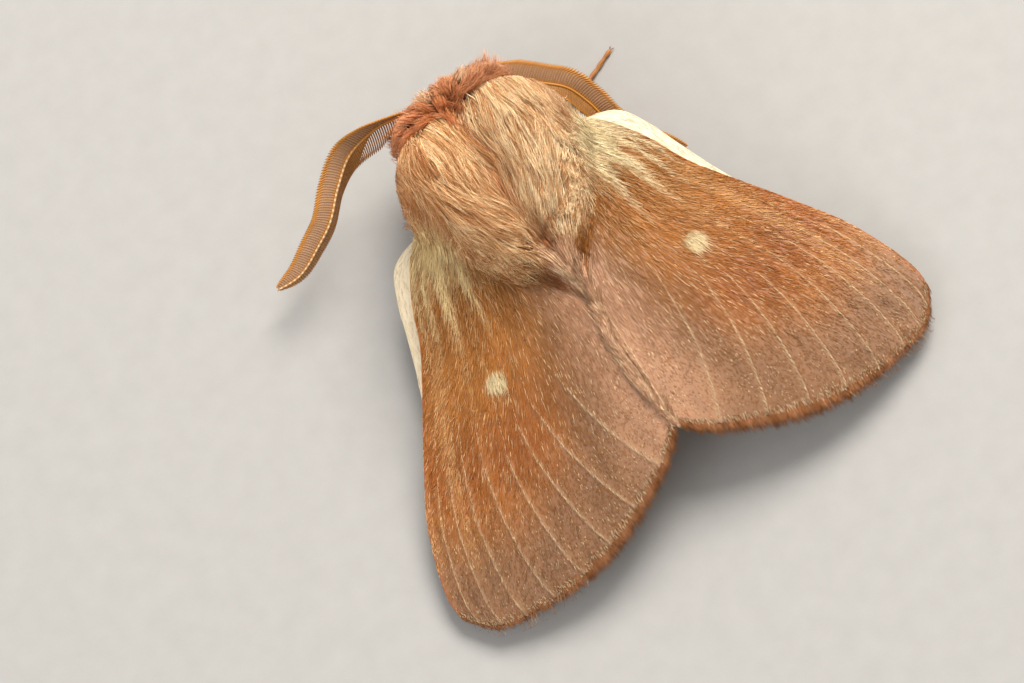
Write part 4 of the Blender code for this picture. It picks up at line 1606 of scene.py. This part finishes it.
def tail_heading(place):
    """Back and towards the seam, so that both sides close to a V."""
    x, y = place[..., 0], place[..., 1]
    return np.stack([0.9 * np.clip(seam_x(y + 0.6) - x, -0.65, 0.65), np.ones_like(y)], -1)


def tail_pattern(lines, tone):
    """Straw over rose that darkens to brown, with less straw on the right."""
    tone = tone[:, None]
    pale = ramp(tone, 0.35, 0.8) * (1 - 0.4 * ramp(-lines[:, :1, 0], -0.3, 0.3))
    return mix(mix(ROSE, BARK, 0.6 * fall(tone, 0.2, 0.5)), STRAW, 0.7 * pale)


TAIL_LOCKS = 75
for word, reach in (("left", 0.7), ("right", 1.1)):
    beside = SIDES[word] * rng.uniform(0.15, reach, TAIL_LOCKS)
    roots = np.stack([beside, rng.uniform(-0.9, 0.3, TAIL_LOCKS)], -1)
    length = rng.uniform(1.5, 2.6, TAIL_LOCKS)
    tail = comb_over(
        back_height, roots, length, tail_heading, per_lock=10, spread=0.10, gather=0.3, sink=0.1, fluff=0.10
    )
    coat(f"tail_hair_{word}", tail, 0.013, tail_pattern, SHORT_FUR, "thorax_fur")

SEAM_LOCKS = 340
seam_end = node_box("forewing_left")[1][1] - 3.4
along_seam = rng.uniform(-1.0, seam_end, SEAM_LOCKS)
narrowing = 0.28 - 0.12 * ramp(along_seam, 0.5, 3.0)
roots = np.stack([seam_x(along_seam) + rng.normal(size=SEAM_LOCKS) * narrowing, along_seam], -1)
length = rng.uniform(0.8, 1.4, SEAM_LOCKS) * (1 - 0.4 * ramp(along_seam, seam_end - 2, seam_end))
seam_hair = comb_over(
    wing_height, roots, length, midline_heading, per_lock=7, spread=0.06, gather=0.4, sink=0.04, fluff=0.06
)
coat("midline_hair", seam_hair, 0.015, midline_pattern, SHORT_FUR, "forewing_scales")

# %% [markdown]
# ## Feelers
# A male eggar's feeler is a shaft with a comb of long teeth on both sides.  The outer comb lies
# open and its tips line up in an even edge.  The inner comb is folded: down on the left feeler,
# where it opens only near the head, and up on the right one.  Everything follows one curve
# through a few points, with directions ahead and sideways at each share of its length.

# %% Feeler paths
FEELER_KNOTS = {
    "left": [
        (1.4, -11.25, 4.8), (3.3, -11.35, 4.85), (5.0, -11.42, 4.5), (6.3, -10.85, 4.1),
        (7.55, -9.85, 3.6), (8.6, -9.4, 3.15), (9.9, -8.95, 2.65), (11.15, -8.95, 2.35),
    ],
    "right": [
        (1.6, -11.2, 4.7), (2.5, -10.8, 4.35), (3.4, -10.2, 3.9), (4.3, -9.5, 3.4), (5.15, -8.7, 3.0),
        (5.6, -7.6, 2.5), (5.85, -6.4, 2.05), (6.45, -5.05, 1.7), (7.8, -3.4, 1.35),
    ],
}
FEELER_BREADTH, FEELER_LEAN = 1.25, 0.35
TEETH = 90
OPEN = {"left": 1, "right": 0}  # whether the inner comb lies open near the head
FOLD = {"left": 1.0, "right": -0.5}  # radians that the inner comb turns down, negative for up


def comb_breadth(share):
    """Full breadth of both combs: quickly wide, then narrower to a blunt tip."""
    return FEELER_BREADTH * np.minimum(1, 0.12 + 5 * share) * (1 - 0.10 * share - 0.8 * share**9)


def folding(word, share):
    """0 where the inner comb lies open and 1 where it is folded."""
    return np.maximum(1 - OPEN[word], ramp(share, 0.12, 0.5))


def shaft_place(word, share):
    """Where the shaft lies across the comb, as a share of its breadth: outwards of the middle
    where the inner comb lies open, and inwards of it where that is folded."""
    return 0.18 - 0.42 * folding(word, share)


def feeler_frame(word, share):
    """The shaft's centre at shares of its length, and three directions there: ahead, the comb's
    own sideways, and over it."""
    knots = np.array(FEELER_KNOTS[word]) + [0, shift, 0]
    ahead = unit(on_curve(knots, share + 0.01) - on_curve(knots, share - 0.01))
    level = unit(np.cross(ahead, UP))
    level[..., 2] += FEELER_LEAN
    mirror = np.array([SIDES[word], 1, 1])
    ahead, level = ahead * mirror, unit(level) * mirror
    over = unit(np.cross(level, ahead))
    aside = (comb_breadth(share) * shaft_place(word, share))[..., None]
    return on_curve(knots, share) * mirror + level * aside, ahead, level, over * np.sign(over[..., 2:])


feeler_line = on_curve(FEELER_KNOTS["left"], edge)
feeler_length = np.linalg.norm(np.diff(feeler_line, axis=0), axis=1).sum()
print("feeler length:", round(float(feeler_length), 1), "mm")

# %% [markdown]
# A tooth is a spindle that leaves the shaft, sweeps towards the feeler's tip and carries fine
# lashes.

# %% Teeth, lashes and shaft
def teeth_lines(word, outer, steps=9):
    """Centre lines of one comb's teeth.  With q from 0 at the shaft to 1 at the tip, a tooth is:
    base + reach * (q * out + sweep(q) * ahead - curl q^2 * over).  sweep grows slowly, then fast
    over the last quarter, so that the tips touch and draw one even edge."""
    share = np.linspace(0.03, 0.985, TEETH)
    base, ahead, level, over = feeler_frame(word, share)
    folded = folding(word, share)
    hand = 1 if outer else -1
    tilt = (1.2 - 1.1 * folded if outer else 0.1 + FOLD[word] * folded)[:, None]
    out = hand * (level * np.cos(tilt) + over * np.sin(tilt))
    reach = comb_breadth(share) * (0.78 if outer else 0.56 + 0.22 * (1 - folded))
    q = shares(steps)[None, :, None]
    touching = 1.0 if outer else folded[:, None, None]
    sweep = 0.30 * q**1.6 + 0.22 * touching * ramp(q, 0.72, 1.0)
    curl = 0.10 if outer else 0.22
    bend = q * out[:, None] + sweep * ahead[:, None] - curl * q**2 * over[:, None]
    return share, base[:, None] + reach[:, None, None] * bend, over


def lash_lines(lines, over, per_tooth=9):
    """Fine lashes on both sides of every tooth, which close the gaps between the teeth."""
    steps = lines.shape[1]
    place = np.linspace(0.08, 0.84, per_tooth) * (steps - 1)
    low = place.astype(int)
    part = (place - low)[None, :, None]
    base = lines[:, low] * (1 - part) + lines[:, low + 1] * part
    along_tooth = unit(lines[:, low + 1] - lines[:, low])
    sideways = unit(np.cross(along_tooth, over[:, None]))
    both = np.array([-1, 1])[:, None, None, None]
    tips = base + both * 0.075 * sideways + 0.04 * along_tooth + 0.01 * rng.normal(size=(2, *base.shape))
    share = shares(3)[:, None]
    lashes = base[None, :, :, None] * (1 - share) + tips[:, :, :, None] * share
    facing = np.broadcast_to(over[None, :, None], tips.shape)
    return lashes.reshape(-1, 3, 3), facing.reshape(-1, 3)


def shaft_surface(word):
    """surface(along, around) of the shaft: a tube that thins towards the tip."""

    def surface(along, around):
        centre, _, level, over = feeler_frame(word, along)
        radius = (0.09 - 0.035 * along)[..., None]
        angle = (TURN * np.asarray(around))[..., None]
        return centre + radius * (np.cos(angle) * level * 0.9 + np.sin(angle) * over)

    return surface


print("teeth of one comb:", teeth_lines("left", True)[1].shape)

# %% [markdown]
# A feeler is a shaft, which stands for the frame's solid, both combs as one mesh, their lashes
# and a thin veil between the teeth.  Its horn is amber, and lilac brown where it is hairy.

# %% Feelers
def horn_pattern(q, outer):
    """Amber at the shaft and over the last third of a tooth, and lilac brown between in the
    outer comb."""
    return mix(AMBER, LILAC, outer * ramp(q, 0.05, 0.25) * fall(q, 0.62, 0.82))


def make_veil(word, outer):
    """A thin closed sheet between the teeth.  It stands for the finest lashes, and leaves the
    teeth's tips free.  Where the inner comb lies open there is none."""
    share, lines, over = teeth_lines(word, outer)
    width = np.ones(TEETH) if outer else ramp(folding(word, share), 0.0, 0.6)
    kept = width > 0.05
    foot = lines[kept, :1]
    top = foot + width[kept, None, None] * (lines[kept, :-1] - foot)
    points, faces = closed_sheet(top, top - 0.012 * over[kept, None])
    q = np.tile(np.linspace(0, 0.875, top.shape[1]), 2 * kept.sum())
    layers = {
        "pattern": mix(horn_pattern(q, 1.0 * outer), HONEY, 0.55 * ramp(q, 0.0, 0.2)),
        "along": q,
        "tone": np.full(len(q), 0.5),
    }
    name = f"feeler_veil_{'outer' if outer else 'inner'}_{word}"
    adopt(build(name, points, face_upwards(faces, points), layers), HORN, "feeler")


SHAFT_SIDES = 12


def make_shaft(word, stations=400):
    """The shaft, amber with a dotted pale line along its outer part."""
    rings, faces = closed_tube(shaft_surface(word), stations, SHAFT_SIDES)
    place, around = square_grid(shares(stations), np.arange(SHAFT_SIDES) / SHAFT_SIDES)
    dots = 0.15 + 0.85 * ramp(np.cos(TURN * TEETH * place / 2), -0.3, 0.6)
    outer_part = ramp(place, 0.6 - 0.4 * OPEN[word], 0.85 - 0.4 * OPEN[word])
    upper = ramp(np.sin(TURN * around), 0.5, 0.9) * dots * outer_part
    plain = np.full(len(rings), 0.5)
    layers = {"pattern": mix(AMBER, IVORY, 0.7 * upper), "along": plain, "tone": plain}
    adopt(build(f"feeler_shaft_{word}", rings, faces, layers), HORN, "feeler", f"feeler_{word}")


def make_combs(word):
    """Both combs of one feeler with their lashes."""
    combs = zip(teeth_lines(word, True), teeth_lines(word, False))
    share, lines, over = (np.concatenate(pair) for pair in combs)
    q = shares(lines.shape[1])[None]
    outer = np.repeat([1.0, 0.3], TEETH)[:, None]
    open_part = np.concatenate([np.zeros(TEETH), 1 - folding(word, share[TEETH:])])[:, None]
    radii = 0.031 * (1 - 0.15 * q + 1.0 * outer * ramp(q, 0.68, 0.9)) * (1 + 0.35 * open_part)
    colour = mix(horn_pattern(q, outer), UMBER, 0.75 * open_part)
    layers = {"pattern": colour, "along": q, "tone": rng.random((len(lines), 1)) * 0.4 + 0.3}
    adopt(spindles(f"feeler_comb_{word}", lines, radii, over, layers, sides=5), HORN, "feeler")
    closed = np.concatenate([np.ones(TEETH), folding(word, share[TEETH:])]) > 0.35
    lashes, facing = lash_lines(lines[closed], over[closed])
    layers = {
        "pattern": np.reshape(mix(LILAC, AMBER, 0.4), (1, 1, 3)),
        "along": np.full((1, 1), 0.6),
        "tone": rng.random((len(lashes), 1)),
    }
    thin = np.full((len(lashes), 3), 0.011)
    adopt(spindles(f"feeler_lashes_{word}", lashes, thin, facing, layers), HORN, "feeler")


for word in SIDES:
    make_shaft(word)
    make_combs(word)
    make_veil(word, True)
    make_veil(word, False)

# %% [markdown]
# ## Head: eyes, palps and the fur of the face
# The eyes are large dark balls of tiny facets, at the frame's place and size with a finer mesh.

# %% Eyes
def eye_material():
    """Dark brown facets: Voronoi cells colour them and raise their middles."""
    material, tree, shader = new_material("eye", 0.18, coat=0.4)
    cells = add_texture(tree, "Voronoi", object_place(tree), Scale=14000.0, Randomness=0.25)
    distance = cells.outputs["Distance"]
    colour = add_tones(tree, distance, (0.045, 0.022, 0.012, 1), (0.008, 0.004, 0.003, 1))
    tree.links.new(colour, shader.inputs["Base Color"])
    link_bump(tree, shader, distance, 0.6, 0.02).invert = True
    return material


def ball_surface(low, high):
    """A ball that fills a box, with its poles at the sides."""

    def surface(along, around, inset=0.0):
        polar, angle = math.pi * along, TURN * around
        ball = np.stack([np.cos(polar), np.sin(polar) * np.cos(angle), np.sin(polar) * np.sin(angle)], -1)
        return (low + high) / 2 + ball * ((high - low) / 2 - inset)

    return surface


EYE = eye_material()
for word in SIDES:
    points, faces = closed_tube(ball_surface(*node_box(f"eye_{word}")), rows=40, columns=64)
    adopt(build(f"compound_eye_{word}", points, faces), EYE, "eye", f"eye_{word}")

# %% [markdown]
# The face's tufts are the smallest on the moth.  They flow down over the face and up over the
# crown, and leave the eyes free.  The palps are two short clubs of hair that point forwards.

# %% Face and palps
def face_flow(points):
    """Forwards everywhere, down on the face and up on the crown, outwards on both sides."""
    x, z = points[..., 0], points[..., 2]
    up = ramp(z, 4.4, 5.6)
    return np.stack([0.25 * x, -0.7 - 0.3 * up, 0.9 * up - 0.8 * (1 - up)], -1)


def face_pattern(lines, tone):
    """Rust and russet in slow waves, with two straw wisps on the crown."""
    x, z = lines[..., 0], lines[..., 2]
    tip = shares(lines.shape[1]) * np.ones_like(x)
    colour = mix(RUST, RUSSET, 0.5 + 0.5 * np.sin(4 * x + 2 * z))
    return mix(colour, STRAW, 0.55 * tip * ramp(z, 4.2, 5.6) * bell(np.abs(x) - 0.5, 0.7))


def clear_of_eyes(along, around):
    """Weight 0 over the eyes, so that no tuft covers them, and more tufts between them."""
    points = head(along, around)
    on_face = points[:, 1] < -10.4 + shift
    keep = 1 + 7 * bell(points[:, 2] - 3.9, 0.7) * on_face
    for word in SIDES:
        low, high = node_box(f"eye_{word}")
        keep *= np.linalg.norm(points - (low + high) / 2, axis=1) > (high[0] - low[0]) / 2 + 0.02
    return keep


face = grow(
    head, tufts=720, per_tuft=6, depth=0.30, length=(0.3, 0.6), flow=face_flow, weight=clear_of_eyes,
    spread=0.06, wild=0.3, stray=0.06,
)
coat("face_fur", face, 0.014, face_pattern, RUFF, "head_fur")


def palp_surface(word):
    """A short club along the palp solid's box, from the face to its tip."""
    low, high = node_box(f"palp_{word}")
    middle = (low + high) / 2
    back_end = np.array([middle[0], high[1] + 0.25, high[2] - 0.25])
    tip = np.array([middle[0], low[1], low[2] + 0.25])

    def surface(along, around, inset=0.0):
        girth = (0.26 - inset) * np.sqrt(np.clip(1 - (2 * along - 1) ** 4, 0.0005, 1))
        return tube_round(partial(on_curve, [back_end, tip]), girth, along, around)

    return surface


def palp_flow(points):
    """Forwards and slightly down."""
    return np.tile([0.0, -1.0, -0.15], (len(points), 1))


for word in SIDES:
    furry = grow(
        palp_surface(word), tufts=90, per_tuft=4, depth=0.12, length=(0.25, 0.5), flow=palp_flow,
        spread=0.04, stray=0.04,
    )
    coat(f"palp_fur_{word}", furry, 0.015, face_pattern, RUFF, "palp_fur")

# %% [markdown]
# ## Belly and legs
# The abdomen hides under the wings.  Its shorter brown fur grows from its own ringed surface.

# %% Abdomen fur
def belly_flow(points):
    """Back, slightly outwards and down."""
    x = points[..., 0]
    return np.stack([0.04 * x, np.ones_like(x), np.full_like(x, -0.05)], -1)


belly = grow(
    abdomen, tufts=380, per_tuft=5, depth=0.5, length=(0.9, 1.6), flow=belly_flow, spread=0.15
)
coat("abdomen_fur", belly, 0.032, belly_colour, SHORT_FUR, "abdomen_fur")

# %% [markdown]
# Thighs and shins are shaggy: their hairs' tips are moved away from the leg's middle line.  The
# feet carry short hair only.

# %% Leg fur and claws
FOOT_GROUND = 0.03  # the lowest that hair may lie


def leg_pattern(lines, tone):
    """Tawny and fawn in slow waves."""
    waves = np.sin(3.0 * lines[..., 0] + 4.0 * lines[..., 1])
    return mix(TAWNY, FAWN, 0.35 + 0.25 * waves)


def leg_fur(name):
    """Hair of one leg, which lies towards the toe and a little down."""
    path = leg_path(name)
    ankle = leg_marks(path)[1]

    def downwards(points):
        nearest = np.argmin(np.linalg.norm(points[:, None] - path[None, :-1], axis=2), axis=1)
        return path[nearest + 1] - path[nearest] + [0, 0.15, -0.25]

    lines, facing, tuft_map, tone = grow(
        legs[name], tufts=170, per_tuft=5, depth=0.02, length=(0.3, 0.65), flow=downwards,
        weight=lambda along, around: np.where(along < ankle, 1.0, 0.8),
        spread=0.06, wild=0.2, stray=0.0,
    )
    share = np.clip(tuft_map[:, 0], 0, 1)
    away = unit(lines[:, :1] - on_curve(path, share)[:, None])
    shag = np.where(share < ankle, 0.20, 0.03)[:, None, None]
    lines = lines + away * shag * shares(lines.shape[1])[None, :, None] ** 1.2
    lines[..., 2] = np.maximum(lines[..., 2], FOOT_GROUND)
    coat(f"{name}_fur", (lines, facing, tuft_map, tone), 0.016, leg_pattern, SHORT_FUR, "leg_fur")


for name in LEG_NAMES:
    leg_fur(name)

# %% [markdown]
# Each foot ends in two small claws of dark horn that curve down and spread apart.

# %% Claws
CLAW_STEPS = 6


def claw_line(name, hand):
    """A claw's middle line, with q from 0 to 1: toe + 0.15 q (ahead + 0.35 sideways), less
    0.08 q^2 upwards."""
    path = leg_path(name)
    ahead = unit(path[-1] - path[-2])
    sideways = hand * unit(np.cross(ahead, UP))
    q = shares(CLAW_STEPS)[:, None]
    return path[-1] + 0.05 * sideways + 0.15 * q * (ahead + 0.35 * sideways) - 0.08 * q**2 * UP


claw_lines = np.array([claw_line(name, hand) for name in LEG_NAMES for hand in (-1, 1)])
q = np.tile(shares(CLAW_STEPS), (len(claw_lines), 1))
layers = {"pattern": np.reshape(BARK, (1, 1, 3)), "along": q, "tone": np.full((1, 1), 0.5)}
facing = np.tile(UP, (len(claw_lines), 1))
claws = spindles("claws", claw_lines, 0.028 * (1 - 0.6 * q), facing, layers, sides=6)
adopt(claws, CLAW, "leg_fur")

# %% [markdown]
# ## Stage, light and camera
# A pale floor, a large soft key light, a weaker fill and an even sky.  The floor is the stage,
# so it isn't part of the moth.

# %% Stage and light
FLOOR_REACH = 400.0


def plain_floor():
    """One large square with a faint cloudy tone."""
    corners = FLOOR_REACH * np.array([(-1, -1, 0), (1, -1, 0), (1, 1, 0), (-1, 1, 0)])
    floor = build("floor", corners, [np.array([[0, 1, 2, 3]])], smooth=False)
    material, tree, shader = new_material("pale_floor", 0.8)
    noise = add_texture(tree, "Noise", object_place(tree), Scale=900.0)
    colour = add_tones(tree, noise.outputs[0], (0.40, 0.39, 0.375, 1), (0.45, 0.44, 0.425, 1))
    tree.links.new(colour, shader.inputs["Base Color"])
    floor.data.materials.append(material)


def aim(obj, place, target, roll_up):
    """Puts an object at place, looking at target along its own -Z, with roll_up upwards."""
    back = unit(np.array(place) - np.array(target))
    right = unit(np.cross(roll_up, back))
    axes = np.stack([right, np.cross(back, right), back], 1)
    rows = [[*axes[i], place[i] * MM] for i in range(3)]
    obj.matrix_world = Matrix([*rows, [0, 0, 0, 1]])


def soft_light(name, place, size, power, colour):
    """A round area light that looks at the moth; size is in millimetres, power in watts."""
    data = bpy.data.lights.new(name, "AREA")
    data.shape = "DISK"
    data.size = size * MM
    data.energy = power
    data.color = colour
    lamp = bpy.data.objects.new(name, data)
    bpy.context.scene.collection.objects.link(lamp)
    aim(lamp, place, (0, 0, 3), [0.0, 1.0, 0.1])


plain_floor()
soft_light("key", (-150, -110, 225), size=170, power=1.15, colour=(1.0, 0.95, 0.88))
soft_light("fill", (190, 60, 150), size=180, power=0.18, colour=(0.96, 0.97, 1.0))
world = bpy.data.worlds.new("even_sky")
world.use_nodes = True
sky = world.node_tree.nodes["Background"]
sky.inputs["Color"].default_value = (1.0, 0.98, 0.95, 1)
sky.inputs["Strength"].default_value = 0.55
bpy.context.scene.world = world
bpy.context.scene.view_settings.view_transform = "Standard"
print("stage and light are set")

# %% [markdown]
# The camera looks down from behind and above, and it is rolled so that the moth lies aslant.  A
# long lens from far away keeps the wings' proportions.

# %% Camera
ELEVATION = math.radians(70)
ROLL = math.radians(35.35)
DISTANCE = 200.0
LENS = 157.5
ASIDE, ABOVE = 3.78, 0.09  # how far the target lies from the moth's middle, across and up the view
back_of_view = np.array([0, math.cos(ELEVATION), math.sin(ELEVATION)])
image_up = np.array([0, -math.sin(ELEVATION), math.cos(ELEVATION)])
image_side = np.array([-1.0, 0, 0])
target = np.array([0, shift, 3.0]) - ASIDE * image_side + ABOVE * image_up
camera_data = bpy.data.cameras.new("camera")
camera_data.sensor_width = 36.0
camera_data.lens = LENS
camera_data.clip_start = 0.01
camera = bpy.data.objects.new("camera", camera_data)
bpy.context.scene.collection.objects.link(camera)
rolled_up = math.sin(ROLL) * image_side + math.cos(ROLL) * image_up
aim(camera, target + DISTANCE * back_of_view, target, rolled_up)
bpy.context.scene.camera = camera
print("camera at", [round(v, 4) for v in camera.location])
